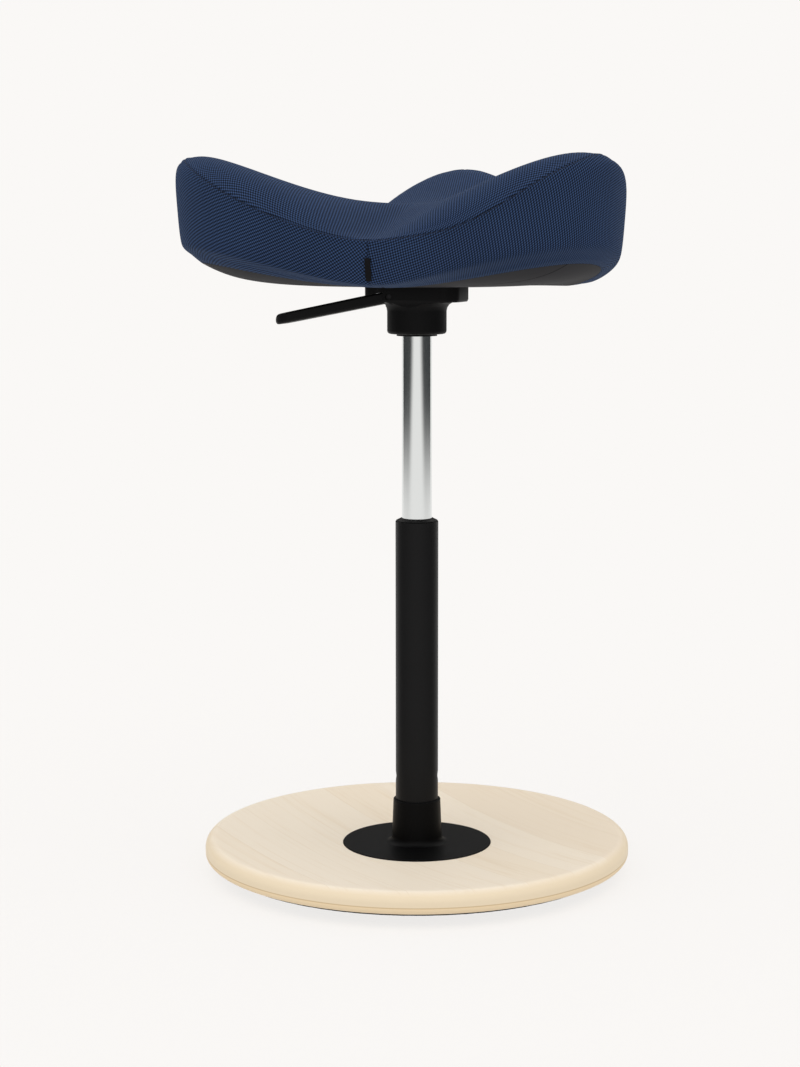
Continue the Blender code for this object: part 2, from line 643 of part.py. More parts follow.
def make_valve_pin(parts, steel):
    collar_top = CYLINDER_TOP - CYLINDER_CAP - SEAT_GAP
    collar_bottom = collar_top - VALVE_PIN_COLLAR_HEIGHT
    corners = [(0, VALVE_PIN_TOP), (VALVE_PIN_RADIUS - VALVE_PIN_EDGE, VALVE_PIN_TOP)]
    corners += [(VALVE_PIN_RADIUS, VALVE_PIN_TOP - VALVE_PIN_EDGE), (VALVE_PIN_RADIUS, collar_top)]
    corners += [(VALVE_PIN_COLLAR_RADIUS, collar_top), (VALVE_PIN_COLLAR_RADIUS, collar_bottom)]
    corners += [(0, collar_bottom)]
    finish(turned("valve_pin", corners, SCREW_SIDES, parts, steel, closed=False))


def plate(name, inset, bottom, top, edge, group, material=None):
    # The block's rounded outline, drawn in by an inset, with its top and bottom edges rounded
    corner = BLOCK_CORNER - inset
    outline = []
    for side_x, side_y, start in ((1, 1, 0), (-1, 1, pi / 2), (-1, -1, pi), (1, -1, 3 * pi / 2)):
        corner_x = side_x * (BLOCK_WIDTH / 2 - BLOCK_CORNER)
        corner_y = side_y * (BLOCK_DEPTH / 2 - BLOCK_CORNER)
        centre = Vector((corner_x, corner_y))
        for step in range(2 * ARC_STEPS + 1):
            angle = start + pi / 2 * step / (2 * ARC_STEPS)
            outline.append((centre, Vector((cos(angle), sin(angle)))))
    rings = [(corner - edge, bottom), (corner, bottom + edge), (corner, top - edge), (corner - edge, top)]
    sections = [[(centre + way * radius).to_3d() + Vector((0, 0, height)) for centre, way in outline]
                for radius, height in rings]
    return place_object(name, loft(name, sections), group, material)


def loft(name, sections):
    # Joins like sections, listed in order along the piece, into one closed body.
    shape = bmesh.new()
    rows = [[shape.verts.new(point) for point in section] for section in sections]
    count = len(sections[0])
    for low, high in zip(rows, rows[1:]):
        for index in range(count):
            after = (index + 1) % count
            shape.faces.new((low[index], low[after], high[after], high[index]))
    shape.faces.new(reversed(rows[0]))
    shape.faces.new(rows[-1])
    bmesh.ops.recalc_face_normals(shape, faces=shape.faces)
    mesh = bpy.data.meshes.new(name)
    shape.to_mesh(mesh)
    shape.free()
    return mesh


def make_housing(parts, cutters, cast):
    item = plate("mechanism_housing", 0, BLOCK_BOTTOM, BLOCK_TOP, BLOCK_EDGE, parts, cast)
    inside = BLOCK_BOTTOM + BLOCK_HEIGHT / 4
    flare_radius = NECK_RADIUS + NECK_FLARE
    neck = [(0, inside), (flare_radius, inside)]
    for step in range(ARC_STEPS + 2):
        angle = pi / 2 * step / (ARC_STEPS + 1)
        neck.append((flare_radius - NECK_FLARE * sin(angle), BLOCK_BOTTOM - NECK_FLARE * (1 - cos(angle))))
    corners = [(NECK_RADIUS, BLOCK_BOTTOM - NECK_FLARE), (NECK_RADIUS, NECK_BOTTOM, NECK_EDGE)]
    corners += [(BOSS_RADIUS, NECK_BOTTOM), (BOSS_RADIUS, BOSS_BOTTOM), (0, BOSS_BOTTOM)]
    neck += rounded(corners)[1:]
    body = turned("neck", neck, TUBE_SIDES, cutters, closed=False)
    hide_cutter(body)
    trim = plate("neck_trim", NECK_LEDGE, BOSS_BOTTOM - OVERRUN, inside + OVERRUN, BLOCK_EDGE, cutters)
    hide_cutter(trim)
    combine(body, trim, "INTERSECT")
    combine(item, body, "UNION")

    gap = SEAT_GAP
    taper = [(0, POCKET_FLOOR + OVERRUN), (socket_radius(CYLINDER_TOP) + gap, POCKET_FLOOR + OVERRUN)]
    taper += [(socket_radius(CYLINDER_TOP) + gap, POCKET_FLOOR), (CYLINDER_RADIUS + gap, BOSS_BOTTOM)]
    taper += [(CYLINDER_RADIUS + gap, BOSS_BOTTOM - OVERRUN), (0, BOSS_BOTTOM - OVERRUN)]
    cut(item, turned("socket_cut", taper, TUBE_SIDES, cutters, closed=False))

    half = POCKET_HALF_WIDTH
    low = (-SLOT_START, -half, POCKET_FLOOR)
    high = (POCKET_INNER_END, half, BLOCK_TOP + OVERRUN)
    cut(item, box("pocket_cut", low, high, cutters))
    low = (-BLOCK_WIDTH / 2 - OVERRUN, -half, POCKET_FLOOR)
    high = (-SLOT_START + OVERRUN, half, POCKET_CEILING)
    cut(item, box("mouth_cut", low, high, cutters))
    cut(item, skirt_cutter(cutters))

    through = BLOCK_DEPTH / 2 + OVERRUN
    drill = disc("pivot_bore_cut", PIVOT_RADIUS + gap, -through, through, SMALL_SIDES, cutters)
    lay_along_y(drill)
    drill.location = (-PIVOT_INSET, 0, PIVOT_HEIGHT)
    cut(item, drill)

    for index, spot in housing_screw_spots():
        profile = [(0, BLOCK_TOP + OVERRUN), (HOUSING_SCREW_RADIUS + gap, BLOCK_TOP + OVERRUN)]
        profile += [(HOUSING_SCREW_RADIUS + gap, SCREW_SEAT), (HOUSING_SCREW_HEAD_RADIUS + gap, SCREW_SEAT)]
        profile += [(HOUSING_SCREW_HEAD_RADIUS + gap, BLOCK_BOTTOM - OVERRUN), (0, BLOCK_BOTTOM - OVERRUN)]
        cutter = turned(f"housing_screw_cut_{index + 1}", profile, SCREW_SIDES, cutters, closed=False)
        cutter.data.transform(Matrix.Translation(spot))
        cut(item, cutter)
    finish(item)


def skirt_cutter(cutters):
    # Leaves only a sloping skirt above the lever on the plate's lever side
    outer = -BLOCK_WIDTH / 2 - OVERRUN
    slope = (SKIRT_AT_EDGE - SKIRT_AT_START) / (BLOCK_WIDTH / 2 - SLOT_START)
    edge_height = BLOCK_TOP - SKIRT_AT_EDGE - slope * OVERRUN
    start_height = BLOCK_TOP - SKIRT_AT_START
    low = BLOCK_BOTTOM - OVERRUN
    sections = []
    for side in (BLOCK_DEPTH / 2 + OVERRUN, -BLOCK_DEPTH / 2 - OVERRUN):
        sections.append([Vector((outer, side, low)), Vector((outer, side, edge_height)),
                         Vector((-SLOT_START, side, start_height)), Vector((-SLOT_START, side, low))])
    return place_object("skirt_cut", loft("skirt_cut", sections), cutters)


def housing_screw_spots():
    signs = ((1, 1), (-1, 1), (-1, -1), (1, -1))
    for index, (side_x, side_y) in enumerate(signs):
        yield index, Vector((side_x * HOUSING_SCREW_X, side_y * HOUSING_SCREW_Y, 0))


def make_housing_screws(parts, steel):
    seat = SCREW_SEAT - SEAT_GAP
    socket = (HEX_SOCKET_RADIUS, HEX_SOCKET_DEPTH)
    profile = screw_profile(HOUSING_SCREW_RADIUS, HOUSING_SCREW_HEAD_RADIUS, HOUSING_SCREW_HEAD_HEIGHT,
                            seat, SHELL_TOP, socket)
    for index, spot in housing_screw_spots():
        item = turned(f"housing_screw_{index + 1}", profile, SCREW_SIDES, parts, steel, closed=False)
        item.location = spot
        finish(item)


def make_tee_nuts(parts, steel):
    bore = HOUSING_SCREW_RADIUS + SEAT_GAP
    flange_bottom = SHELL_TOP + SEAT_GAP
    flange_top = flange_bottom + TEE_NUT_FLANGE_THICKNESS
    profile = [(TEE_NUT_FLANGE_RADIUS, flange_top), (TEE_NUT_FLANGE_RADIUS, flange_bottom)]
    profile += [(TEE_NUT_BARREL_RADIUS, flange_bottom), (TEE_NUT_BARREL_RADIUS, SHELL_BOTTOM)]
    profile += [(bore, SHELL_BOTTOM), (bore, flange_top)]
    for index, spot in housing_screw_spots():
        item = turned(f"tee_nut_{index + 1}", profile, SCREW_SIDES, parts, steel)
        item.location = spot
        finish(item)


def blend(value, low, high, at_low, at_high):
    share = min(max((value - low) / (high - low), 0), 1)
    return at_low + (at_high - at_low) * share


def lever_section(x):
    # Half width, bottom and top of the lever at a place along its length
    tip = -LEVER_REACH
    root = -SLOT_START
    arm_start = -PIVOT_INSET + PIVOT_RADIUS + LEVER_EDGE_ROUNDING
    tip_top = BLOCK_TOP - LEVER_TIP_DEPTH + LEVER_TIP_THICKNESS / 2
    root_top = BLOCK_TOP - LEVER_ROOT_TOP_DEPTH
    top = blend(x, tip, root, tip_top, root_top)
    bottom = blend(x, tip, root, tip_top - LEVER_TIP_THICKNESS, root_top - LEVER_ROOT_THICKNESS)
    half_width = blend(x, tip + LEVER_TIP_ROUNDING, root, LEVER_GRIP_HALF_WIDTH, LEVER_ROOT_HALF_WIDTH)
    if x > -PIVOT_INSET:
        root_bottom = root_top - LEVER_ROOT_THICKNESS
        top = blend(x, -PIVOT_INSET, arm_start, root_top, PIVOT_HEIGHT + LEVER_ARM_THICKNESS / 2)
        bottom = blend(x, -PIVOT_INSET, arm_start, root_bottom, PIVOT_HEIGHT - LEVER_ARM_THICKNESS / 2)
        half_width = blend(x, -PIVOT_INSET, arm_start, LEVER_ROOT_HALF_WIDTH, LEVER_ARM_HALF_WIDTH)
    from_tip = min((x - tip) / LEVER_TIP_ROUNDING, 1)
    half_width = half_width * sqrt(1 - (1 - from_tip) ** 2)
    from_nose = min((x - tip) / LEVER_NOSE_ROUNDING, 1)
    squash = sqrt(1 - (1 - from_nose) ** 2)
    middle = (top + bottom) / 2
    half_height = (top - bottom) / 2 * squash
    return half_width, middle - half_height, middle + half_height


def make_lever(parts, cutters, plastic):
    tip = -LEVER_REACH
    grip = tip + LEVER_TIP_ROUNDING
    stations = [tip + LEVER_TIP_ROUNDING * share for share in LEVER_NOSE_SHARES]
    stations += [grip + (-SLOT_START - grip) * share for share in LEVER_GRIP_SHARES]
    arm_start = -PIVOT_INSET + PIVOT_RADIUS + LEVER_EDGE_ROUNDING
    stations += [-PIVOT_INSET, arm_start, LEVER_ARM_OVER_PIN]
    sections = []
    for x in stations:
        half_width, bottom, top = lever_section(x)
        edge = min(LEVER_EDGE_ROUNDING, LEVER_EDGE_SHARE * (top - bottom), LEVER_EDGE_SHARE * half_width)
        corners = [(half_width, bottom, edge), (half_width, top, edge)]
        corners += [(-half_width, top, edge), (-half_width, bottom, edge)]
        sections.append([Vector((x, point[0], point[1])) for point in rounded(corners)])
    item = place_object("lever", loft("lever", sections), parts, plastic)
    through = POCKET_HALF_WIDTH
    hole = disc("lever_hole_cut", PIVOT_RADIUS + SEAT_GAP, -through, through, SMALL_SIDES, cutters)
    lay_along_y(hole)
    hole.location = (-PIVOT_INSET, 0, PIVOT_HEIGHT)
    cut(item, hole)
    finish(item)
    pivot = Vector((-PIVOT_INSET, 0, PIVOT_HEIGHT))
    item.data.transform(Matrix.Translation(-pivot))
    item.location = pivot


def make_pivot(parts, cutters, steel):
    half = BLOCK_DEPTH / 2 - PIVOT_END_DEPTH
    clip_in = LEVER_ROOT_HALF_WIDTH + SEAT_GAP
    clip_out = clip_in + PIVOT_CLIP_THICKNESS
    groove = PIVOT_RADIUS - PIVOT_GROOVE_DEPTH
    low = clip_in - SEAT_GAP
    high = clip_out + SEAT_GAP
    profile = [(0, half), (PIVOT_RADIUS, half), (PIVOT_RADIUS, high), (groove, high), (groove, low)]
    profile += [(PIVOT_RADIUS, low), (PIVOT_RADIUS, -low), (groove, -low), (groove, -high)]
    profile += [(PIVOT_RADIUS, -high)]
    profile += [(PIVOT_RADIUS, -half), (0, -half)]
    pin = turned("lever_pin", profile, SCREW_SIDES, parts, steel, closed=False)
    lay_along_y(pin)
    pin.location = (-PIVOT_INSET, 0, PIVOT_HEIGHT)
    finish(pin)
    for name, low in (("pin_clip_left", clip_in), ("pin_clip_right", -clip_out)):
        clip = split_ring(name, PIVOT_CLIP_RADIUS, groove + SEAT_GAP, PIVOT_CLIP_THICKNESS, PIVOT_CLIP_MOUTH,
                          parts, cutters, steel)
        lay_along_y(clip)
        clip.location = (-PIVOT_INSET, low, PIVOT_HEIGHT)
        finish(clip)


def around(stations, angle):
    # A smooth, left-right even value through the stations, from the front (0) to the rear (pi)
    last = len(stations) - 1
    total = 0.0
    for wave in range(last + 1):
        strength = 0.0
        for index, value in enumerate(stations):
            ends = 2 if index in (0, last) else 1
            strength += value * cos(pi * wave * index / last) / ends
        halved = 2 if wave in (0, last) else 1
        total += 2 * strength / (last * halved) * cos(wave * angle)
    return total


def section_controls(angle):
    # Control points (radius, height) of the seat's section, from the top's middle to the underside's middle
    reach = around(REACHES, angle)
    crest = around(CRESTS, angle)
    fall = around(FALLS, angle)
    hem = around(HEMS, angle)
    inner = reach - SHOULDER_WIDTH
    climb = crest - MIDDLE_HEIGHT
    edge = reach - SIDE_TAPER
    return [
        (0, MIDDLE_HEIGHT),
        (INNER_SLOPE_SHARES[0] * inner, MIDDLE_HEIGHT - MIDDLE_DIP + INNER_SLOPE_SHARES[1] * climb),
        (OUTER_SLOPE_SHARES[0] * inner, MIDDLE_HEIGHT - SLOPE_DIP + OUTER_SLOPE_SHARES[1] * climb),
        (inner, crest + CREST_SWELL),
        (reach - ROUNDING_SHARE * SHOULDER_WIDTH, crest - ROUNDING_SHARE * fall),
        (reach, crest - fall),
        (reach - SIDE_TAPER / 2, (crest - fall + hem) / 2),
        (edge, hem),
        (edge - TUCK_SHARES[0] * TUCK, hem - TUCK_SHARES[1] * TUCK),
        (edge - UNDERSIDE_MARGIN, MARGIN_HEM_SHARE * hem),
        (FLAT_SHARES[0] * reach, 0),
        (FLAT_SHARES[1] * reach, 0),
        (0, 0),
    ]


def section_point(controls, step):
    # Uniform cubic B-spline, mirrored past both ends so that the surface is level on the axis
    last = len(controls) - 1
    base = min(int(step), last - 1)
    part = step - base
    weights = ((1 - part) ** 3 / 6, (3 * part ** 3 - 6 * part ** 2 + 4) / 6,
               (-3 * part ** 3 + 3 * part ** 2 + 3 * part + 1) / 6, part ** 3 / 6)
    radius = 0.0
    height = 0.0
    for offset, weight in enumerate(weights):
        index = base + offset - 1
        if index < 0:
            point = (-controls[1][0], controls[1][1])
        elif index > last:
            point = (-controls[last - 1][0], controls[last - 1][1])
        else:
            point = controls[index]
        radius += weight * point[0]
        height += weight * point[1]
    return radius, height


def seat_point(angle, step):
    radius, height = section_point(section_controls(angle), step)
    return Vector((radius * sin(angle), radius * cos(angle), SEAT_FLAT + height))


def seat_normal(angle, step):
    # Outward direction, from short differences along and across the section
    if step < NUDGE_SHARE:
        return Vector((0, 0, 1))
    if step > LAST_STEP_SHARE - NUDGE_SHARE:
        return Vector((0, 0, -1))
    along = seat_point(angle, step + NUDGE_SHARE / 2) - seat_point(angle, step - NUDGE_SHARE / 2)
    across = seat_point(angle + NUDGE_SHARE, step) - seat_point(angle - NUDGE_SHARE, step)
    return across.cross(along).normalized()


def step_past(angle, step, distance):
    # The step that lies the given distance further along the section
    speed = (seat_point(angle, step + NUDGE_SHARE) - seat_point(angle, step)).length / NUDGE_SHARE
    return step + distance / speed


def seat_body(name, outline, group, material, poles=False):
    # outline(angle) lists (step, depth below the surface, lift) down the outside and back up the inside.
    shape = bmesh.new()
    columns = []
    first = last = None
    for index in range(SEAT_SIDES):
        angle = 2 * pi * index / SEAT_SIDES
        places = outline(angle)
        points = [seat_point(angle, step) - seat_normal(angle, step) * depth + Vector((0, 0, lift))
                  for step, depth, lift in places]
        steps = [step for step, depth, lift in places]
        if poles:
            if first is None:
                first = shape.verts.new((0, 0, points[0].z))
                last = shape.verts.new((0, 0, points[-1].z))
            points = points[1:-1]
            steps = steps[1:-1]
        columns.append([shape.verts.new(point) for point in points])
    for index in range(SEAT_SIDES):
        here = columns[index]
        there = columns[(index + 1) % SEAT_SIDES]
        if poles:
            shape.faces.new((first, there[0], here[0]))
            shape.faces.new((last, here[-1], there[-1]))
        rows = range(len(here) - 1) if poles else range(len(here))
        for row in rows:
            after = (row + 1) % len(here)
            # Quads are split along the same diagonal both ways, so that layers stay parallel.
            if steps[after] >= steps[row]:
                shape.faces.new((here[row], there[row], there[after]))
                shape.faces.new((here[row], there[after], here[after]))
            else:
                shape.faces.new((here[row], there[row], here[after]))
                shape.faces.new((there[row], there[after], here[after]))
    mesh = bpy.data.meshes.new(name)
    bmesh.ops.recalc_face_normals(shape, faces=shape.faces)
    shape.to_mesh(mesh)
    shape.free()
    return place_object(name, mesh, group, material)


def seam_step(angle):
    return around(SEAM_STEP_SHARES, angle)


def top_steps(angle):
    # From the middle to where the top panel turns down into the seam
    turn = step_past(angle, seam_step(angle), -SEAM_WIDTH)
    return [turn * share for share in TOP_SHARES]


def side_steps(angle):
    # From where the side panel comes out of the seam to its hem under the seat
    turn = step_past(angle, seam_step(angle), SEAM_WIDTH)
    return [turn + (HEM_STEP_SHARE - turn) * share for share in SIDE_SHARES]


def make_cover_top(parts, fabric):
    def outline(angle):
        edge = step_past(angle, seam_step(angle), -SEAT_GAP / 2)
        outside = [(step, 0, 0) for step in top_steps(angle)]
        inside = [(step, FABRIC_THICKNESS, 0) for step in reversed(top_steps(angle))]
        return outside + [(edge, SEAM_DEPTH, 0), (edge, FABRIC_THICKNESS, 0)] + inside
    finish(seat_body("cover_top", outline, parts, fabric, poles=True))


def make_cover_side(parts, fabric):
    def outline(angle):
        edge = step_past(angle, seam_step(angle), SEAT_GAP / 2)
        outside = [(step, 0, 0) for step in side_steps(angle)]
        inside = [(step, FABRIC_THICKNESS, 0) for step in reversed(side_steps(angle))]
        return [(edge, SEAM_DEPTH, 0)] + outside + inside + [(edge, FABRIC_THICKNESS, 0)]
    finish(seat_body("cover_side", outline, parts, fabric))


def make_foam(parts, cutters, foam):
    depth = FABRIC_THICKNESS + SEAT_GAP
    lift = COVER_THICKNESS + SEAT_GAP + SHELL_THICKNESS + SEAT_GAP

    def outline(angle):
        steps = top_steps(angle) + [seam_step(angle)] + side_steps(angle) + [FOAM_FOOT_STEP_SHARE]
        outside = [(step, depth, 0) for step in steps]
        beside_shell = step_past(angle, SHELL_STEP_SHARE, -SEAT_GAP * 2)
        inside = [(beside_shell, 0, COVER_THICKNESS + SEAT_GAP), (beside_shell, 0, lift)]
        inside += [(step, 0, lift) for step in shell_steps()]
        return outside + inside
    item = seat_body("seat_foam", outline, parts, foam, poles=True)
    for index, spot in housing_screw_spots():
        cutter = disc(f"tee_nut_recess_{index + 1}", TEE_NUT_FLANGE_RADIUS + SEAT_GAP, SHELL_TOP - OVERRUN,
                      SHELL_TOP + 2 * SEAT_GAP + TEE_NUT_FLANGE_THICKNESS, SCREW_SIDES, cutters)
        cutter.data.transform(Matrix.Translation(spot))
        cut(item, cutter)
    finish(item)


def shell_steps():
    return [SHELL_STEP_SHARE + (LAST_STEP_SHARE - SHELL_STEP_SHARE) * share for share in SHELL_SHARES]


def make_shell(parts, cutters, ply):
    low = COVER_THICKNESS + SEAT_GAP
    high = low + SHELL_THICKNESS

    def outline(angle):
        above = [(step, 0, high) for step in reversed(shell_steps())]
        below = [(step, 0, low) for step in shell_steps()]
        return above + below
    item = seat_body("seat_shell", outline, parts, ply, poles=True)
    drill_underside(item, TEE_NUT_BARREL_RADIUS + SEAT_GAP, cutters)
    finish(item)


def make_underside_cover(parts, cutters, plastic):
    def outline(angle):
        edge = step_past(angle, HEM_STEP_SHARE, SEAT_GAP)
        steps = [FOAM_FOOT_STEP_SHARE] + shell_steps()
        above = [(step, 0, COVER_THICKNESS) for step in reversed(steps)] + [(edge, COVER_THICKNESS, 0)]
        below = [(edge, 0, 0)] + [(step, 0, 0) for step in steps]
        return above + below
    item = seat_body("underside_cover", outline, parts, plastic, poles=True)
    drill_underside(item, HOUSING_SCREW_RADIUS + SEAT_GAP, cutters)
    finish(item)


def drill_underside(item, radius, cutters):
    for index, spot in housing_screw_spots():
        cutter = disc(f"{item.name}_drill_{index + 1}", radius, SEAT_FLAT - OVERRUN, SHELL_TOP + OVERRUN,
                      SCREW_SIDES, cutters)
        cutter.data.transform(Matrix.Translation(spot))
        cut(item, cutter)


def make_label(parts, fabric):
    # A small folded tab that hangs straight down the rear of the side panel, next to the middle
    turn = LABEL_WIDTH / REAR_REACH / 2
    top = seat_point(pi, seam_step(pi)).z - LABEL_DROP
    widest = max(seat_point(pi, seam_step(pi) + share).xy.length for share in LABEL_SHARES)
    low = (-LABEL_WIDTH / 2, -widest - SEAT_GAP - LABEL_THICKNESS, top - LABEL_LENGTH)
    high = (LABEL_WIDTH / 2, -widest - SEAT_GAP, top)
    item = box("label_tab", low, high, parts)
    item.data.materials.append(fabric)
    item.rotation_euler = (0, 0, turn)
    finish(item)


def main():
    clear_scene()
    parts = new_collection("saddle_stool")
    cutters = new_collection("cutters")

    wood = new_material("pale_wood", (0.80, 0.70, 0.53), 0.45)
    black_steel = new_material("black_coated_steel", (0.012, 0.012, 0.013), 0.42)
    cast = new_material("black_cast_housing", (0.014, 0.014, 0.015), 0.40)
    black_plastic = new_material("black_plastic", (0.012, 0.012, 0.013), 0.45)
    rubber = new_material("dark_rubber", (0.02, 0.02, 0.02), 0.85)
    steel = new_material("bright_steel", (0.60, 0.60, 0.61), 0.30, 1.0)
    chrome = new_material("chrome", (0.80, 0.80, 0.81), 0.08, 1.0)
    aluminium = new_material("aluminium", (0.70, 0.71, 0.72), 0.35, 1.0)
    brass = new_material("brass", (0.70, 0.55, 0.26), 0.35, 1.0)
    ply = new_material("beech_ply", (0.60, 0.42, 0.26), 0.55)
    foam = new_material("moulded_foam", (0.62, 0.58, 0.45), 0.95)
    fabric = new_material("blue_woven_fabric", (0.035, 0.060, 0.140), 0.90)
    cover = new_material("grey_moulded_cover", (0.05, 0.05, 0.053), 0.55)
    tab = new_material("black_tab", (0.01, 0.01, 0.012), 0.80)

    make_sole(parts, rubber)
    make_disc(parts, cutters, wood)
    make_flange(parts, cutters, black_steel)
    make_flange_screws(parts, steel)
    make_tube(parts, cutters, black_steel)
    make_cap(parts, steel)
    make_bushing(parts, black_plastic)
    make_bearing(parts, cutters, steel, brass)
    make_buffer(parts, rubber)
    make_rod(parts, steel)
    make_rod_fasteners(parts, cutters, steel)
    make_piston(parts, aluminium, rubber)
    make_cylinder(parts, chrome)
    make_rod_guide(parts, black_plastic, rubber)
    make_valve_pin(parts, steel)
    make_housing(parts, cutters, cast)
    make_housing_screws(parts, steel)
    make_tee_nuts(parts, steel)
    make_lever(parts, cutters, black_plastic)
    make_pivot(parts, cutters, steel)
    make_foam(parts, cutters, foam)
    make_shell(parts, cutters, ply)
    make_underside_cover(parts, cutters, cover)
    make_cover_top(parts, fabric)
    make_cover_side(parts, fabric)
    make_label(parts, tab)


main()
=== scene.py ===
# Saddle stool: woven saddle seat, release lever, gas spring and dished wooden foot.
# Metres, +Z up, origin on the column's axis at the floor. The pommel points to +Y, the lever to -X.
from math import cos, floor, pi, radians, sin, sqrt, tan

import bmesh
import bpy
from mathutils import Matrix, Vector, noise


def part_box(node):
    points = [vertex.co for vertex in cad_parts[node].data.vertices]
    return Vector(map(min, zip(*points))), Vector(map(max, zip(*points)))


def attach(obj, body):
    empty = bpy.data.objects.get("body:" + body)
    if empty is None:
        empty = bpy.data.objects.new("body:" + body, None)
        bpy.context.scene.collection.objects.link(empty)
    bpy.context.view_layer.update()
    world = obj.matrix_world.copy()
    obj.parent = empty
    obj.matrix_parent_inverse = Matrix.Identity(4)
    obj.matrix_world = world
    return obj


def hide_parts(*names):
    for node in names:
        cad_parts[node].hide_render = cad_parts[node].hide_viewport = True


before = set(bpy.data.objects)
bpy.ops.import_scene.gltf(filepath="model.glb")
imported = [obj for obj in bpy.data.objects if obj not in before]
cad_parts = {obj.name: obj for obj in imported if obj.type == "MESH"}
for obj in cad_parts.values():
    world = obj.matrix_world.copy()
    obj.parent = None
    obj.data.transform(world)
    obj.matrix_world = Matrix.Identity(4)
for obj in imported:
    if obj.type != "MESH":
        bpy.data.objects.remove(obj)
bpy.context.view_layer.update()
seatGap = 0.0003  # what touching pieces keep between them
material = {}


def toLinear(code):
    # "#rrggbb" in sRGB to linear red, green, blue, alpha
    shares = [int(code[start:start + 2], 16) / 255 for start in (1, 3, 5)]
    lit = [share / 12.92 if share <= 0.04045 else ((share + 0.055) / 1.055) ** 2.4 for share in shares]
    return (*lit, 1.0)


def connect(tree, node, socket, value):
    # Feeds an input with a constant, a socket, or a node's first output
    if isinstance(value, bpy.types.Node):
        value = next(output for output in value.outputs if output.enabled)
    if isinstance(value, bpy.types.NodeSocket):
        tree.links.new(value, node.inputs[socket])
    else:
        node.inputs[socket].default_value = value


def addNode(tree, kind, inputs=(), **settings):
    node = tree.nodes.new(kind)
    for name, value in settings.items():
        setattr(node, name, value)
    for socket, value in dict(inputs).items():
        connect(tree, node, socket, value)
    return node


def emptyTree(owner):
    owner.use_nodes = True
    owner.node_tree.nodes.clear()
    return owner.node_tree


def setRamp(node, *stops):
    # Gives a ramp three stops, each a position and a colour
    elements = node.color_ramp.elements
    elements.new(0.5)
    for element, (position, colour) in zip(elements, stops):
        element.position = position
        element.color = toLinear(colour)


def newMaterial(name, shaderValues):
    # Keeps an empty Principled material and returns its tree, its shader and the place on the piece
    material[name] = bpy.data.materials.new(name)
    tree = emptyTree(material[name])
    shader = addNode(tree, "ShaderNodeBsdfPrincipled", shaderValues)
    addNode(tree, "ShaderNodeOutputMaterial", {"Surface": shader})
    return tree, shader, addNode(tree, "ShaderNodeTexCoord").outputs["Object"]


def wovenFabric():
    # Polyester upholstery cloth, a hopsack weave of slate threads over a navy ground: dull, with a
    # soft bloom at grazing angles. The threads run along the piece's own cloth coordinates.
    # Along its seams the cloth is painted darker, as shade in their creases.
    look = {
        "cellPitch": 0.00225,  # about 1.95 mm in the picture, drawn a little coarser so that it shows
        "gap": "#04080f",
        "thread": "#131e31",
        "lightThread": "#3a517a",
        "bloom": "#7599cf",
        "stray": (0.00035, 0.00035, 0.0),
        "patches": (0.93, 1.07),
        "fuzz": 0.18,
        "bump": 0.4,
        "bumpDepth": 0.0006,
    }
    tree, shader, place = newMaterial("blueHopsackWoven", {
        "Roughness": 0.9, "Specular IOR Level": 0.15, "Sheen Weight": 0.09, "Sheen Roughness": 0.5,
        "Sheen Tint": toLinear(look["bloom"])})
    cloth = addNode(tree, "ShaderNodeUVMap", uv_map="cloth")
    drift = addNode(tree, "ShaderNodeTexNoise", {"Vector": cloth, "Scale": 90.0, "Detail": 2.0})
    stray = addNode(tree, "ShaderNodeVectorMath", {0: drift.outputs["Color"], 1: look["stray"]},
                    operation="MULTIPLY_ADD")
    strayed = addNode(tree, "ShaderNodeVectorMath", {0: cloth, 1: stray}, operation="ADD")
    turns = addNode(tree, "ShaderNodeVectorMath", {0: strayed, "Scale": 2 * pi / look["cellPitch"]},
                    operation="SCALE")
    waves = addNode(tree, "ShaderNodeVectorMath", {0: turns}, operation="COSINE")
    axes = addNode(tree, "ShaderNodeSeparateXYZ", {0: waves}).outputs
    both = addNode(tree, "ShaderNodeMath", {0: axes["X"], 1: axes["Y"]}, operation="ADD")
    crown = addNode(tree, "ShaderNodeMapRange", {"Value": both, "From Min": -2.0, "From Max": 2.0})
    coloured = addNode(tree, "ShaderNodeValToRGB", {"Fac": crown})
    setRamp(coloured, (0.10, look["gap"]), (0.40, look["thread"]), (0.90, look["lightThread"]))
    patches = addNode(tree, "ShaderNodeTexNoise", {"Vector": place, "Scale": 14.0, "Detail": 3.0})
    shade = addNode(tree, "ShaderNodeMapRange", {
        "Value": patches, "From Min": 0.3, "From Max": 0.7, "To Min": look["patches"][0],
        "To Max": look["patches"][1]})
    # painted shade: the colour is darkened along the seams by a value that each point of the cover carries
    seam = addNode(tree, "ShaderNodeAttribute", attribute_name="paintedSeamShade").outputs["Fac"]
    seamShaded = addNode(tree, "ShaderNodeMath", {0: shade, 1: seam}, operation="MULTIPLY")
    tinted = addNode(tree, "ShaderNodeVectorMath", {0: coloured, "Scale": seamShaded}, operation="SCALE")
    connect(tree, shader, "Base Color", tinted)
    fuzz = addNode(tree, "ShaderNodeTexNoise", {"Vector": cloth, "Scale": 2600.0, "Detail": 2.0})
    relief = addNode(tree, "ShaderNodeMath", {0: fuzz, 1: look["fuzz"], 2: crown}, operation="MULTIPLY_ADD")
    connect(tree, shader, "Normal", addNode(tree, "ShaderNodeBump", {
        "Height": relief, "Strength": look["bump"], "Distance": look["bumpDepth"]}))


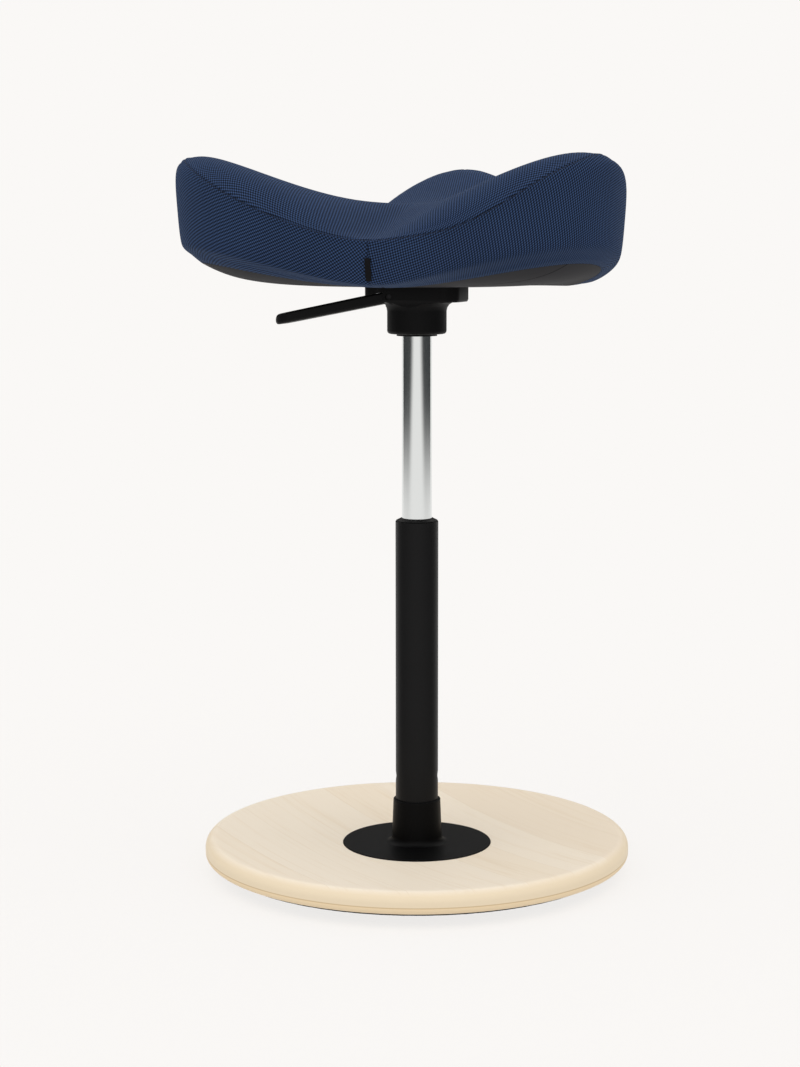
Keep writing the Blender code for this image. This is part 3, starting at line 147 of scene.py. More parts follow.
def paleWood():
    # Ash in glued staves under a thin satin lacquer: pale, fine straight grain with open pores that
    # run along each stave. The rim's lower band, which faces down, is painted darker as shade.
    look = {
        "staveWidth": 0.052,
        "staveTurn": radians(45),
        "tones": ("#fcf0dd", "#fbedd7", "#f7e8d2"),
        "grain": "#e3caa5",
        "ringStretch": (3.0, 150.0, 60.0),
        "poreStretch": (18.0, 900.0, 300.0),
        "ringShare": 0.22,
        "poreShare": 0.17,
        "jointShare": 0.35,
        "staveAndRimLine": "#c9ab7c",
        "rimLineShare": 0.7,
        "upperEdge": "#f0dfc2",
        "paintedUnderShade": "#f5deb9",
        "lowerBandTop": 0.0193,  # above the floor at the rim
        "rim": (0.188, 0.192),
        "edge": (0.193, 0.198),
    }
    tree, shader, place = newMaterial("lacqueredAsh", {
        "Roughness": 0.5, "IOR": 1.5, "Specular IOR Level": 0.2, "Coat Weight": 0.03, "Coat Roughness": 0.4})
    turned = addNode(tree, "ShaderNodeMapping", {"Vector": place, "Rotation": (0.0, 0.0, look["staveTurn"])})
    across = addNode(tree, "ShaderNodeSeparateXYZ", {0: turned}).outputs["Y"]
    stave = addNode(tree, "ShaderNodeMath", {0: across, 1: look["staveWidth"]}, operation="DIVIDE")
    number = addNode(tree, "ShaderNodeMath", {0: stave}, operation="FLOOR")
    pick = addNode(tree, "ShaderNodeTexWhiteNoise", {"W": number}, noise_dimensions="1D")
    tone = addNode(tree, "ShaderNodeValToRGB", {"Fac": pick})
    setRamp(tone, *zip((0.0, 0.5, 1.0), look["tones"]))
    shift = addNode(tree, "ShaderNodeCombineXYZ", {"Z": number})
    own = addNode(tree, "ShaderNodeVectorMath", {0: turned, 1: shift}, operation="ADD")
    long = addNode(tree, "ShaderNodeVectorMath", {0: own, 1: look["ringStretch"]}, operation="MULTIPLY")
    rings = addNode(tree, "ShaderNodeTexNoise", {
        "Vector": long, "Scale": 1.0, "Detail": 5.0, "Roughness": 0.55, "Distortion": 0.6})
    fine = addNode(tree, "ShaderNodeVectorMath", {0: own, 1: look["poreStretch"]}, operation="MULTIPLY")
    pores = addNode(tree, "ShaderNodeTexNoise", {"Vector": fine, "Scale": 1.0, "Detail": 3.0})
    ringShare = addNode(tree, "ShaderNodeMapRange", {
        "Value": rings, "From Min": 0.50, "From Max": 0.74, "To Max": look["ringShare"]},
        interpolation_type="SMOOTHSTEP")
    poreShare = addNode(tree, "ShaderNodeMapRange", {
        "Value": pores, "From Min": 0.60, "From Max": 0.72, "To Max": look["poreShare"]},
        interpolation_type="SMOOTHSTEP")
    grain = addNode(tree, "ShaderNodeMath", {0: ringShare, 1: poreShare}, operation="ADD", use_clamp=True)
    fraction = addNode(tree, "ShaderNodeMath", {0: stave}, operation="FRACT")
    centred = addNode(tree, "ShaderNodeMath", {0: fraction, 1: 0.5}, operation="SUBTRACT")
    toJoint = addNode(tree, "ShaderNodeMath", {0: centred}, operation="ABSOLUTE")
    joint = addNode(tree, "ShaderNodeMapRange", {
        "Value": toJoint, "From Min": 0.494, "From Max": 0.5, "To Max": look["jointShare"]})
    flat = addNode(tree, "ShaderNodeVectorMath", {0: place, 1: (1.0, 1.0, 0.0)}, operation="MULTIPLY")
    away = addNode(tree, "ShaderNodeVectorMath", {0: flat}, operation="LENGTH")
    rim, edge = (addNode(tree, "ShaderNodeMapRange", {"Value": away, "From Min": low, "From Max": high})
                 for low, high in (look["rim"], look["edge"]))
    height = addNode(tree, "ShaderNodeSeparateXYZ", {0: place}).outputs["Z"]
    # painted shade: below the band's top, the outer rim takes a darker, warmer colour
    below = addNode(tree, "ShaderNodeMapRange", {
        "Value": height, "From Min": look["lowerBandTop"] + 0.0007, "From Max": look["lowerBandTop"]})
    lower = addNode(tree, "ShaderNodeMath", {0: rim, 1: below}, operation="MULTIPLY")
    # a dark line round the rim at the top of its lower band, in the stave joints' colour
    over = addNode(tree, "ShaderNodeMath", {0: height, 1: look["lowerBandTop"] + 0.0004}, operation="SUBTRACT")
    toLine = addNode(tree, "ShaderNodeMath", {0: over}, operation="ABSOLUTE")
    line = addNode(tree, "ShaderNodeMapRange", {
        "Value": toLine, "From Min": 0.0007, "From Max": 0.0002, "To Max": look["rimLineShare"]})
    lineRim = addNode(tree, "ShaderNodeMath", {0: line, 1: rim}, operation="MULTIPLY")
    colour = tone
    for share, name in ((grain, "grain"), (joint, "staveAndRimLine"), (edge, "upperEdge"), (lower, "paintedUnderShade"),
                        (lineRim, "staveAndRimLine")):
        colour = addNode(tree, "ShaderNodeMix", {"Factor": share, "A": colour, "B": toLinear(look[name])},
                         data_type="RGBA")
    connect(tree, shader, "Base Color", colour)
    dull = addNode(tree, "ShaderNodeMapRange", {"Value": rings, "To Min": 0.46, "To Max": 0.58})
    connect(tree, shader, "Roughness", dull)
    connect(tree, shader, "Normal", addNode(tree, "ShaderNodeBump", {
        "Height": grain, "Strength": 0.25, "Distance": 0.0002}, invert=True))


def formedUnderside():
    # Polypropylene skin, vacuum formed smooth and matt: dark grey, with the joint across its rear lobes
    look = {"colour": "#303033", "other": "#363639", "line": "#111112", "jointY": 0.104, "bendStart": 0.11,
            "bend": 3.28, "lineHalf": (0.0012, 0.0004), "grit": 0.12, "bumpDepth": 0.0008}
    tree, shader, place = newMaterial("formedPolypropylene", {
        "Roughness": 0.6, "IOR": 1.49, "Specular IOR Level": 0.02})
    axes = addNode(tree, "ShaderNodeSeparateXYZ", {0: place}).outputs
    side = addNode(tree, "ShaderNodeMath", {0: axes["X"]}, operation="ABSOLUTE")
    past = addNode(tree, "ShaderNodeMath", {0: side, 1: look["bendStart"]}, operation="SUBTRACT")
    only = addNode(tree, "ShaderNodeMath", {0: past, 1: 0.0}, operation="MAXIMUM")
    square = addNode(tree, "ShaderNodeMath", {0: only, 1: 2.0}, operation="POWER")
    bent = addNode(tree, "ShaderNodeMath", {0: square, 1: look["bend"], 2: look["jointY"]},
                   operation="MULTIPLY_ADD")
    near = addNode(tree, "ShaderNodeMath", {0: bent, 1: axes["Y"]}, operation="ADD")
    away = addNode(tree, "ShaderNodeMath", {0: near}, operation="ABSOLUTE")
    joint = addNode(tree, "ShaderNodeMapRange", {
        "Value": away, "From Min": look["lineHalf"][0], "From Max": look["lineHalf"][1]},
        interpolation_type="SMOOTHSTEP")
    drift = addNode(tree, "ShaderNodeTexNoise", {"Vector": place, "Scale": 24.0, "Detail": 4.0})
    skin = addNode(tree, "ShaderNodeMix", {
        "Factor": drift, "A": toLinear(look["colour"]), "B": toLinear(look["other"])}, data_type="RGBA")
    lined = addNode(tree, "ShaderNodeMix", {"Factor": joint, "A": skin, "B": toLinear(look["line"])},
                    data_type="RGBA")
    connect(tree, shader, "Base Color", lined)
    grit = addNode(tree, "ShaderNodeTexNoise", {"Vector": place, "Scale": 1500.0, "Detail": 2.0})
    relief = addNode(tree, "ShaderNodeMath", {0: grit, 1: look["grit"]}, operation="MULTIPLY")
    sunk = addNode(tree, "ShaderNodeMath", {0: relief, 1: joint}, operation="SUBTRACT")
    connect(tree, shader, "Normal", addNode(tree, "ShaderNodeBump", {
        "Height": sunk, "Strength": 0.5, "Distance": look["bumpDepth"]}))


def grittyFinish(name, look):
    # A coat, moulding or metal: one colour that drifts a little, a fine grit and faint streaks
    tree, shader, place = newMaterial(name, look.get("shader", {}))
    spread = addNode(tree, "ShaderNodeVectorMath", {0: place, 1: look.get("stretch", (1, 1, 1))},
                     operation="MULTIPLY")
    drift = addNode(tree, "ShaderNodeTexNoise", {"Vector": spread, "Scale": 22.0, "Detail": 4.0})
    colour = addNode(tree, "ShaderNodeMix", {
        "Factor": drift, "A": toLinear(look["colour"]), "B": toLinear(look["other"])}, data_type="RGBA")
    connect(tree, shader, "Base Color", colour)
    grit = addNode(tree, "ShaderNodeTexNoise", {"Vector": spread, "Scale": 1 / look["grit"], "Detail": 2.0})
    swing = look.get("swing", 0.06)
    rough = addNode(tree, "ShaderNodeMapRange", {
        "Value": grit, "To Min": look["roughness"] - swing, "To Max": look["roughness"] + swing})
    connect(tree, shader, "Roughness", rough)
    connect(tree, shader, "Normal", addNode(tree, "ShaderNodeBump", {
        "Height": grit, "Strength": look["bump"], "Distance": look["grit"] / 3}))


finishes = {
    # Steel under satin black powder coat, sprayed and baked: very fine orange peel, soft highlights
    "powderCoatedSteel": {"colour": "#0d0d0e", "other": "#111112", "roughness": 0.42, "grit": 0.0006,
                          "bump": 0.10, "shader": {"Specular IOR Level": 0.14}},
    # The same coat on the flange, painted darker and less glossy than the tube's: painted shade and dimmed
    # reflections on the low plate
    "powderCoatFlangeShade": {"colour": "#060607", "other": "#090909", "roughness": 0.42, "grit": 0.0006,
                           "bump": 0.10, "shader": {"Specular IOR Level": 0.07}},
    # Aluminium, pressure die cast and coated black: a slightly coarser skin than the tube's
    "coatedDieCasting": {"colour": "#0b0b0c", "other": "#0f0f10", "roughness": 0.52, "grit": 0.0009,
                         "bump": 0.16, "shader": {"Specular IOR Level": 0.10}},
    # Glass-filled nylon, moulded in a spark-eroded tool: even matt grain
    "mouldedNylon": {"colour": "#0b0b0c", "other": "#0f0f10", "roughness": 0.50, "grit": 0.0005,
                     "bump": 0.22, "shader": {"Specular IOR Level": 0.12, "IOR": 1.53}},
    # Carbon steel, blacked in hot oil: dull black with a trace of metal
    "blackedSteel": {"colour": "#18181a", "other": "#202022", "roughness": 0.5, "grit": 0.0006,
                     "bump": 0.08, "shader": {"Specular IOR Level": 0.2}},
    # Natural rubber compound, calendered sheet: nearly black and dull
    "calenderedRubber": {"colour": "#1d1d1d", "other": "#282827", "roughness": 0.86, "grit": 0.0012,
                         "bump": 0.3, "shader": {"IOR": 1.52}},
    # Steel tube, hard chromed and polished along its length
    "polishedChrome": {"colour": "#e6e9e9", "other": "#dfe2e2", "roughness": 0.11, "swing": 0.015,
                       "grit": 0.0009, "bump": 0.008, "stretch": (1.0, 1.0, 0.04),
                       "shader": {"Metallic": 1.0}},
    # Carbon steel, zinc plated: dull silver with a fine crystalline skin
    "zincPlatedSteel": {"colour": "#b9bcbd", "other": "#a6a9ab", "roughness": 0.34, "grit": 0.0008,
                        "bump": 0.08, "shader": {"Metallic": 1.0}},
    # Aluminium bar, turned: fine rings left by the tool
    "turnedAluminium": {"colour": "#c9cbcc", "other": "#babcbe", "roughness": 0.33, "grit": 0.0007,
                        "bump": 0.10, "stretch": (0.2, 0.2, 3.0), "shader": {"Metallic": 1.0}},
    # Brass sheet, pressed into the ball cage
    "pressedBrass": {"colour": "#c7a75b", "other": "#b4934a", "roughness": 0.32, "grit": 0.0008,
                     "bump": 0.08, "shader": {"Metallic": 1.0}},
    # Beech veneers, pressed into a shell and left bare
    "pressedBeechPly": {"colour": "#c59d72", "other": "#b0875c", "roughness": 0.58, "grit": 0.0015,
                        "bump": 0.25, "stretch": (0.15, 1.0, 4.0)},
    # Polyester tape, woven narrow and bare
    "wovenTape": {"colour": "#08080a", "other": "#101013", "roughness": 0.82, "grit": 0.0005, "bump": 0.5,
                  "stretch": (1.0, 1.0, 0.5), "shader": {"Specular IOR Level": 0.15}},
    # Bonded polyester sewing thread, twisted
    "twistedThread": {"colour": "#141d33", "other": "#1d2945", "roughness": 0.6, "grit": 0.0003, "bump": 0.4},
}
for name, look in finishes.items():
    grittyFinish(name, look)
wovenFabric()
paleWood()
formedUnderside()
print("materials:", len(material))


def newObject(name, data):
    item = bpy.data.objects.new(name, data)
    bpy.context.scene.collection.objects.link(item)
    return item


def placeMesh(name, mesh, finish):
    mesh.materials.clear()
    mesh.materials.append(finish)
    return newObject(name, mesh)


def outwards(mesh):
    # Turns all the faces' normals outwards
    shape = bmesh.new()
    shape.from_mesh(mesh)
    bmesh.ops.recalc_face_normals(shape, faces=shape.faces)
    shape.to_mesh(mesh)
    shape.free()
    return mesh


def meshFrom(name, points, faces=(), edges=()):
    mesh = bpy.data.meshes.new(name)
    mesh.from_pydata(points, edges, faces)
    return outwards(mesh)


def roundPairs(items):
    # Each item with the next one, and the last with the first
    return list(zip(items, [*items[1:], items[0]]))


def applied(item):
    # Turns what the modifiers make into the object's own plain mesh
    depsgraph = bpy.context.evaluated_depsgraph_get()
    mesh = bpy.data.meshes.new_from_object(item.evaluated_get(depsgraph), depsgraph=depsgraph)
    item.modifiers.clear()
    item.data = mesh
    return item


def smooth(item, angle=32):
    # Smooth shading that keeps flat and straight walls flat beside their roundings
    item.data.shade_smooth()
    item.data.set_sharp_from_angle(angle=radians(angle))
    item.modifiers.new("Weighted", "WEIGHTED_NORMAL").keep_sharp = True
    applied(item)


def settle(item, body, slot, *nodes):
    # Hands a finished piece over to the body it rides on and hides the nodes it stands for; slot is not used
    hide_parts(*nodes)
    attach(item, body)


def rounded(corners, steps=8):
    # Replaces each corner (radius, height, rounding) of a profile with an arc that touches both its sides
    points = []
    for index, corner in enumerate(corners):
        here = Vector(corner[:2])
        if len(corner) == 2:
            points.append(here)
            continue
        back = (Vector(corners[index - 1][:2]) - here).normalized()
        ahead = (Vector(corners[(index + 1) % len(corners)][:2]) - here).normalized()
        half = back.angle(ahead) / 2
        centre = here + (back + ahead).normalized() * corner[2] / sin(half)
        start = here + back * corner[2] / tan(half) - centre
        sweep = start.angle_signed(here + ahead * corner[2] / tan(half) - centre)
        points += [centre + Matrix.Rotation(-sweep * step / steps, 2) @ start for step in range(steps + 1)]
    return points


def geometryTree(name, *inputs):
    # A Geometry Nodes group with named inputs; returns it with its input and output nodes
    tree = bpy.data.node_groups.new(name, "GeometryNodeTree")
    tree.interface.new_socket(name="Geometry", in_out="INPUT", socket_type="NodeSocketGeometry")
    for label, kind in (*inputs, ("Finish", "Material")):
        tree.interface.new_socket(name=label, in_out="INPUT", socket_type="NodeSocket" + kind)
    tree.interface.new_socket(name="Geometry", in_out="OUTPUT", socket_type="NodeSocketGeometry")
    return tree, addNode(tree, "NodeGroupInput"), addNode(tree, "NodeGroupOutput")


def endTree(tree, start, end, made):
    real = addNode(tree, "GeometryNodeRealizeInstances", {"Geometry": made})
    coated = addNode(tree, "GeometryNodeSetMaterial", {"Geometry": real, "Material": start.outputs["Finish"]})
    connect(tree, end, "Geometry", coated)
    return tree


def grow(name, seed, tree, values):
    # Runs a node group on a seed mesh and keeps the result as a plain mesh object
    item = newObject(name, seed)
    modifier = item.modifiers.new("Grow", "NODES")
    modifier.node_group = tree
    for socket in tree.interface.items_tree:
        if socket.in_out == "INPUT" and socket.name in values:
            modifier[socket.identifier] = values[socket.name]
    return applied(item)


def latheTree():
    # Spins a profile, laid flat with its radius along X and its height along -Y, round the Z axis
    tree, start, end = geometryTree("latheNodes", ("Facets", "Int"), ("Path Radius", "Float"),
                                    ("Weld", "Float"))
    profile = addNode(tree, "GeometryNodeMeshToCurve", {"Mesh": start})
    path = addNode(tree, "GeometryNodeCurvePrimitiveCircle",
                   {"Resolution": start.outputs["Facets"], "Radius": start.outputs["Path Radius"]})
    wall = addNode(tree, "GeometryNodeCurveToMesh", {"Curve": path, "Profile Curve": profile})
    welded = addNode(tree, "GeometryNodeMergeByDistance",
                     {"Geometry": wall, "Distance": start.outputs["Weld"]})
    return endTree(tree, start, end, welded)


latheNodes = latheTree()


def lathe(name, profile, finish, facets=128, closed=True):
    pathRadius = 1.0
    points = [(point[0] - pathRadius, -point[1], 0.0) for point in profile]
    edges = roundPairs(range(len(points)))
    seed = meshFrom(name + "Profile", points, edges=edges if closed else edges[:-1])
    item = grow(name, seed, latheNodes, {"Facets": facets, "Path Radius": pathRadius, "Weld": 0.00001,
                                         "Finish": material[finish]})
    outwards(item.data)
    smooth(item)
    return item


def bore(item, radius, finish, place, facets=32):
    # Cuts a round hole along the Z axis, turned and moved by a matrix, and keeps one finish
    long = 0.03
    wall = [(0, long), (radius, long), (radius, -long), (0, -long)]
    drill = lathe("drill", wall, finish, facets, closed=False)
    drill.data.transform(place)
    cut = item.modifiers.new("Bore", "BOOLEAN")
    cut.object = drill
    cut.solver = "EXACT"
    applied(item)
    bpy.data.objects.remove(drill)
    item.data.materials.clear()
    item.data.materials.append(material[finish])


collarHeight = 0.0415  # of the flange's collar above its plate


def makeFoot():
    # The dished disc: glued staves, a broad rounding above and a tighter one below the rim
    disc = {"radius": 0.200, "dish": 1.68, "thickness": 0.020, "topRounding": 0.0095, "lowerRounding": 0.0065,
            "soleRadius": 0.189, "dome": 1.70, "flatRadius": 0.040, "bore": 0.021, "boreFloor": 0.004,
            "facets": 224}
    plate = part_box("base_flange")
    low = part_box("base_disc")[0].z

    def rise(radius, dome):
        return dome - sqrt(dome * dome - radius * radius)

    def sole(radius):
        return low + rise(radius, disc["dome"]) - rise(disc["flatRadius"], disc["dome"])

    def dish(radius):
        return low + disc["thickness"] + rise(radius, disc["dish"])
    pocket = plate[1].x + seatGap
    pocketFloor = plate[0].z - seatGap
    corners = [(0, low + disc["boreFloor"]), (disc["bore"], low + disc["boreFloor"]),
               (disc["bore"], pocketFloor), (pocket, pocketFloor)]
    across = [pocket + (disc["radius"] - pocket) * share for share in (0, 0.2, 0.4, 0.6, 0.8)]
    corners += [(radius, dish(radius)) for radius in across]
    corners += [(disc["radius"], dish(disc["radius"]), disc["topRounding"]),
                (disc["radius"], sole(disc["radius"]), disc["lowerRounding"])]
    inwards = [disc["soleRadius"] * share for share in (1, 0.8, 0.6, 0.4)]
    corners += [(radius, sole(radius)) for radius in inwards]
    corners += [(disc["flatRadius"], low), (0, low)]
    item = lathe("dishedDisc", rounded(corners, 10), "lacqueredAsh", disc["facets"], closed=False)
    settle(item, "base", "pale_wood", "base_disc")

    # The steel plate with its collar, one pressing with a generous fillet between them
    collar = {"topRadius": 0.0222, "footRadius": 0.0238, "fillet": 0.006, "edge": 0.0009, "bore": 0.0203}
    plateTop = plate[1].z - collarHeight
    corners = [(collar["topRadius"], plate[1].z, collar["edge"]),
               (collar["footRadius"], plateTop, collar["fillet"]),
               (plate[1].x, plateTop, collar["edge"]), (plate[1].x, plate[0].z), (collar["bore"], plate[0].z),
               (collar["bore"], plate[1].z)]
    # the flange takes the darkened copy of the coat, its painted shade
    item = lathe("collarPlate", rounded(corners, 10), "powderCoatFlangeShade")
    settle(item, "base", "black_coated_steel", "base_flange")


def makeColumn():
    # Tube with a broken top edge and a cross hole, the plastic guide's cone, and the chromed cylinder
    tube = {"radius": 0.020, "bore": 0.018, "edge": 0.0005, "holeRadius": 0.0048, "holeTurn": radians(15),
            "holeAbovePlate": 0.0635}
    low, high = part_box("outer_tube")
    corners = [(tube["radius"], high.z, tube["edge"]), (tube["radius"], low.z), (tube["bore"], low.z),
               (tube["bore"], high.z, tube["edge"])]
    item = lathe("outerTube", rounded(corners, 5), "powderCoatedSteel")
    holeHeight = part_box("base_flange")[1].z - collarHeight + tube["holeAbovePlate"]
    bore(item, tube["holeRadius"], "powderCoatedSteel", Matrix.Translation((0, 0, holeHeight))
         @ Matrix.Rotation(tube["holeTurn"], 4, "Z") @ Matrix.Rotation(pi / 2, 4, "Y"), 48)
    smooth(item)
    settle(item, "base", "black_coated_steel", "outer_tube")

    guide = {"footRadius": 0.0194, "topRadius": 0.0149, "edge": 0.0004, "bore": 0.0143, "outer": 0.0177,
             "topRounding": 0.0002, "footRounding": 0.0003}
    lip = high.z + seatGap  # over the tube's rim
    low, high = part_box("guide_bushing")
    corners = [(guide["topRadius"], high.z, guide["topRounding"]),
               (guide["footRadius"], lip + guide["edge"], guide["footRounding"]), (guide["footRadius"], lip),
               (guide["outer"], lip), (guide["outer"], low.z), (guide["bore"], low.z),
               (guide["bore"], high.z)]
    item = lathe("guideBushing", rounded(corners, 4), "mouldedNylon")
    settle(item, "base", "black_plastic", "guide_bushing")

    chrome = {"radius": 0.014, "bore": 0.012, "pinBore": 0.0043, "cap": 0.010, "lead": 0.001, "taper": 0.0007}
    low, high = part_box("gas_cylinder")
    top = chrome["radius"] - chrome["taper"]
    corners = [(top - chrome["lead"] / 2, high.z), (top, high.z - chrome["lead"]),
               (chrome["radius"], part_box("mechanism_housing")[0].z),
               (chrome["radius"], low.z + chrome["lead"]),
               (chrome["radius"] - chrome["lead"] / 2, low.z), (chrome["bore"], low.z),
               (chrome["bore"], high.z - chrome["cap"]), (chrome["pinBore"], high.z - chrome["cap"]),
               (chrome["pinBore"], high.z)]
    item = lathe("chromedCylinder", corners, "polishedChrome")
    settle(item, "seat", "chrome", "gas_cylinder")


makeFoot()
makeColumn()
print("foot and column done")


saddle = {
    # Five stations from the front round to the rear, 45 degrees apart; heights above the flat underside
    "reaches": (0.194, 0.174, 0.191, 0.218, 0.158),
    "crests": (0.1105, 0.0435, 0.0775, 0.1075, 0.0445),
    "falls": (-0.004, 0.029, 0.006, 0.017, 0.0),
    "hems": (0.0385, 0.0105, 0.0165, 0.0335, 0.0045),
    "middle": 0.0765,
    "middleDip": 0.004,
    "slopeDip": 0.0025,
    "crestSwell": 0.002,
    "shoulder": 0.031,
    "taper": 0.005,
    "tuck": 0.008,
    "margin": 0.045,
    # Steps along a section, one from control point to control point: of the seam and the hem by station
    "seamSteps": (4.0, 4.3, 3.2, 4.6, 4.92),
    "hemSteps": (8.4, 8.4, 8.4, 8.47, 9.0),
    "evenStep": 1.6,
    "lastStep": 12.0,
    # The seam sags a little to the right of the rear seam in the picture: where, how far round, how much
    "slackAt": pi - 0.45,
    "slackHalf": 0.4,
    "slack": 0.42,
    "flat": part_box("mechanism_housing")[1].z + seatGap,
}
nudge = 0.01  # step and angle over which slopes are read
rearReach = saddle["reaches"][-1]


def around(stations, angle):
    # A smooth, left-right even value through the stations, from the front (0) to the rear (pi)
    last = len(stations) - 1
    total = 0.0
    for wave in range(last + 1):
        strength = 0.0
        for index, value in enumerate(stations):
            strength += value * cos(pi * wave * index / last) / (2 if index in (0, last) else 1)
        total += 2 * strength / (last * (2 if wave in (0, last) else 1)) * cos(wave * angle)
    return total


def sectionControls(angle):
    # Control points (radius, height) of one section, from the top's middle to the underside's middle
    reach, crest, fall, hem = (around(saddle[name], angle) for name in ("reaches", "crests", "falls", "hems"))
    inner = reach - saddle["shoulder"]
    climb = crest - saddle["middle"]
    edge = reach - saddle["taper"]
    tuck = saddle["tuck"]
    return [
        (0, saddle["middle"]),
        (0.36 * inner, saddle["middle"] - saddle["middleDip"] + 0.12 * climb),
        (0.72 * inner, saddle["middle"] - saddle["slopeDip"] + 0.60 * climb),
        (inner, crest + saddle["crestSwell"]),
        (reach - 0.30 * saddle["shoulder"], crest - 0.30 * fall),
        (reach, crest - fall),
        (reach - saddle["taper"] / 2, (crest - fall + hem) / 2),
        (edge, hem),
        (edge - 0.60 * tuck, hem - 0.55 * tuck),
        (edge - saddle["margin"], 0.15 * hem),
        (0.45 * reach, 0),
        (0.20 * reach, 0),
        (0, 0),
    ]


def sectionPoint(controls, step):
    # Uniform cubic B-spline, mirrored past both ends so that the surface is level on the axis
    last = len(controls) - 1
    base = min(int(step), last - 1)
    part = step - base
    weights = ((1 - part) ** 3 / 6, (3 * part ** 3 - 6 * part ** 2 + 4) / 6,
               (-3 * part ** 3 + 3 * part ** 2 + 3 * part + 1) / 6, part ** 3 / 6)
    radius = height = 0.0
    for offset, weight in enumerate(weights):
        index = base + offset - 1
        point = controls[abs(index)] if index <= last else controls[2 * last - index]
        radius += weight * point[0] * (1 if 0 <= index <= last else -1)
        height += weight * point[1]
    return radius, height


middleLevel = sum(sectionPoint(sectionControls(2 * pi * turn / 16), 0.0)[1] for turn in range(16)) / 16


class Section:
    # One section of the seat at an angle, with its running length so that places can be given in metres
    def __init__(self, angle):
        self.angle = angle
        self.controls = sectionControls(angle)
        away = min(abs(angle % (2 * pi) - saddle["slackAt"]) / saddle["slackHalf"], 1.0)
        self.seam = around(saddle["seamSteps"], angle) + saddle["slack"] * (1 + cos(pi * away)) / 2
        self.hem = around(saddle["hemSteps"], angle)

    def point(self, step, lift=0.0):
        radius, height = sectionPoint(self.controls, min(max(step, 0.0), saddle["lastStep"]))
        if step < saddle["evenStep"]:  # all sections meet at one height in the middle
            share = max(step, 0.0) / saddle["evenStep"]
            own = sectionPoint(self.controls, 0.0)[1]
            height += (middleLevel - own) * (1 - share * share * (3 - 2 * share))
        return Vector((radius * sin(self.angle), radius * cos(self.angle), saddle["flat"] + height + lift))

    def past(self, step, distance):
        # The step that lies a distance further along the section
        ahead = sectionPoint(self.controls, min(step + nudge, saddle["lastStep"]))
        here = sectionPoint(self.controls, step)
        return step + distance / (sqrt((ahead[0] - here[0]) ** 2 + (ahead[1] - here[1]) ** 2) / nudge)


def seatNormal(angle, step):
    here = Section(angle)
    along = here.point(step + nudge) - here.point(step - nudge)
    across = Section(angle + nudge).point(step) - Section(angle - nudge).point(step)
    return across.cross(along).normalized()


def seatRows(fine):
    # Shares of the top panel (middle to seam) and the side panel (seam to hem), closer near the seam
    crowding, sideShare = 1.7, 0.8

    def shares(count):
        return [1 - (1 - index / count) ** crowding for index in range(count + 1)]
    return shares(fine), [1 - share for share in reversed(shares(round(fine * sideShare)))]


def simulateSwell():
    # Cloth over the foam: the cover starts a little inside its real place, is held at the seam, the hem
    # and the middle, and is blown out by pressure. Returns how far it moved, by section and row.
    cover = {"sides": 96, "rows": 26, "inset": 0.0016, "pressure": 4.0, "frames": 20, "cap": 0.0045,
             "middleRow": 4, "firstStep": 0.02}
    top, side = seatRows(cover["rows"])
    sides = cover["sides"]
    ringCount = len(top) + len(side) - 1
    heldRows = (0, len(top) - 1, ringCount - 1)
    points, normals = [], []
    for index in range(sides):
        section = Section(2 * pi * index / sides)
        steps = [max(section.seam * share, cover["firstStep"]) for share in top]
        steps += [section.seam + (section.hem - section.seam) * share for share in side[1:]]
        for row, step in enumerate(steps):
            normals.append(seatNormal(section.angle, step))
            points.append(section.point(step) - normals[-1] * (0 if row in heldRows else cover["inset"]))
    faces = []
    for index in range(sides):
        here, there = index * ringCount, (index + 1) % sides * ringCount
        faces += [(here + row, here + row + 1, there + row + 1, there + row) for row in range(ringCount - 1)]
    item = newObject("swellingCover", meshFrom("swellingCover", points, faces))
    held = [index * ringCount + row for index in range(sides) for row in heldRows]
    item.vertex_groups.new(name="held").add(held, 1.0, "REPLACE")
    settings = item.modifiers.new("Cover", "CLOTH").settings
    for name, value in {"quality": 6, "mass": 0.3, "tension_stiffness": 18, "compression_stiffness": 14,
                        "shear_stiffness": 6, "bending_stiffness": 2.5, "vertex_group_mass": "held",
                        "use_pressure": True, "uniform_pressure_force": cover["pressure"]}.items():
        setattr(settings, name, value)
    settings.effector_weights.gravity = 0
    for count in range(1, cover["frames"] + 1):
        bpy.context.scene.frame_set(count)
    depsgraph = bpy.context.evaluated_depsgraph_get()
    blown = item.evaluated_get(depsgraph).data
    moves = [(vertex.co - point).dot(normal) for vertex, point, normal in zip(blown.vertices, points, normals)]
    moves = [min(max(move, -cover["inset"]), cover["cap"]) for move in moves]
    bpy.context.scene.frame_set(1)
    bpy.data.objects.remove(item)
    grid = [moves[index * ringCount:(index + 1) * ringCount] for index in range(sides)]
    for turn in range(3):  # evens out single vertices
        grid = [[sum((grid[index][row], grid[index - 1][row], grid[(index + 1) % sides][row],
                      grid[index][max(row - 1, 0)], grid[index][min(row + 1, ringCount - 1)])) / 5
                 if row not in heldRows else grid[index][row]
                 for row in range(ringCount)] for index in range(sides)]
    inner = cover["middleRow"]
    middle = sum(column[inner] for column in grid) / sides  # the held middle follows the cover round it
    for column in grid:
        column[:inner] = [middle + (column[inner] - middle) * row / inner for row in range(inner)]
    print("cover blown out by", round(max(map(max, grid)) * 1000, 2), "mm at most")
    return {"grid": grid, "top": top, "side": side, "inset": cover["inset"]}


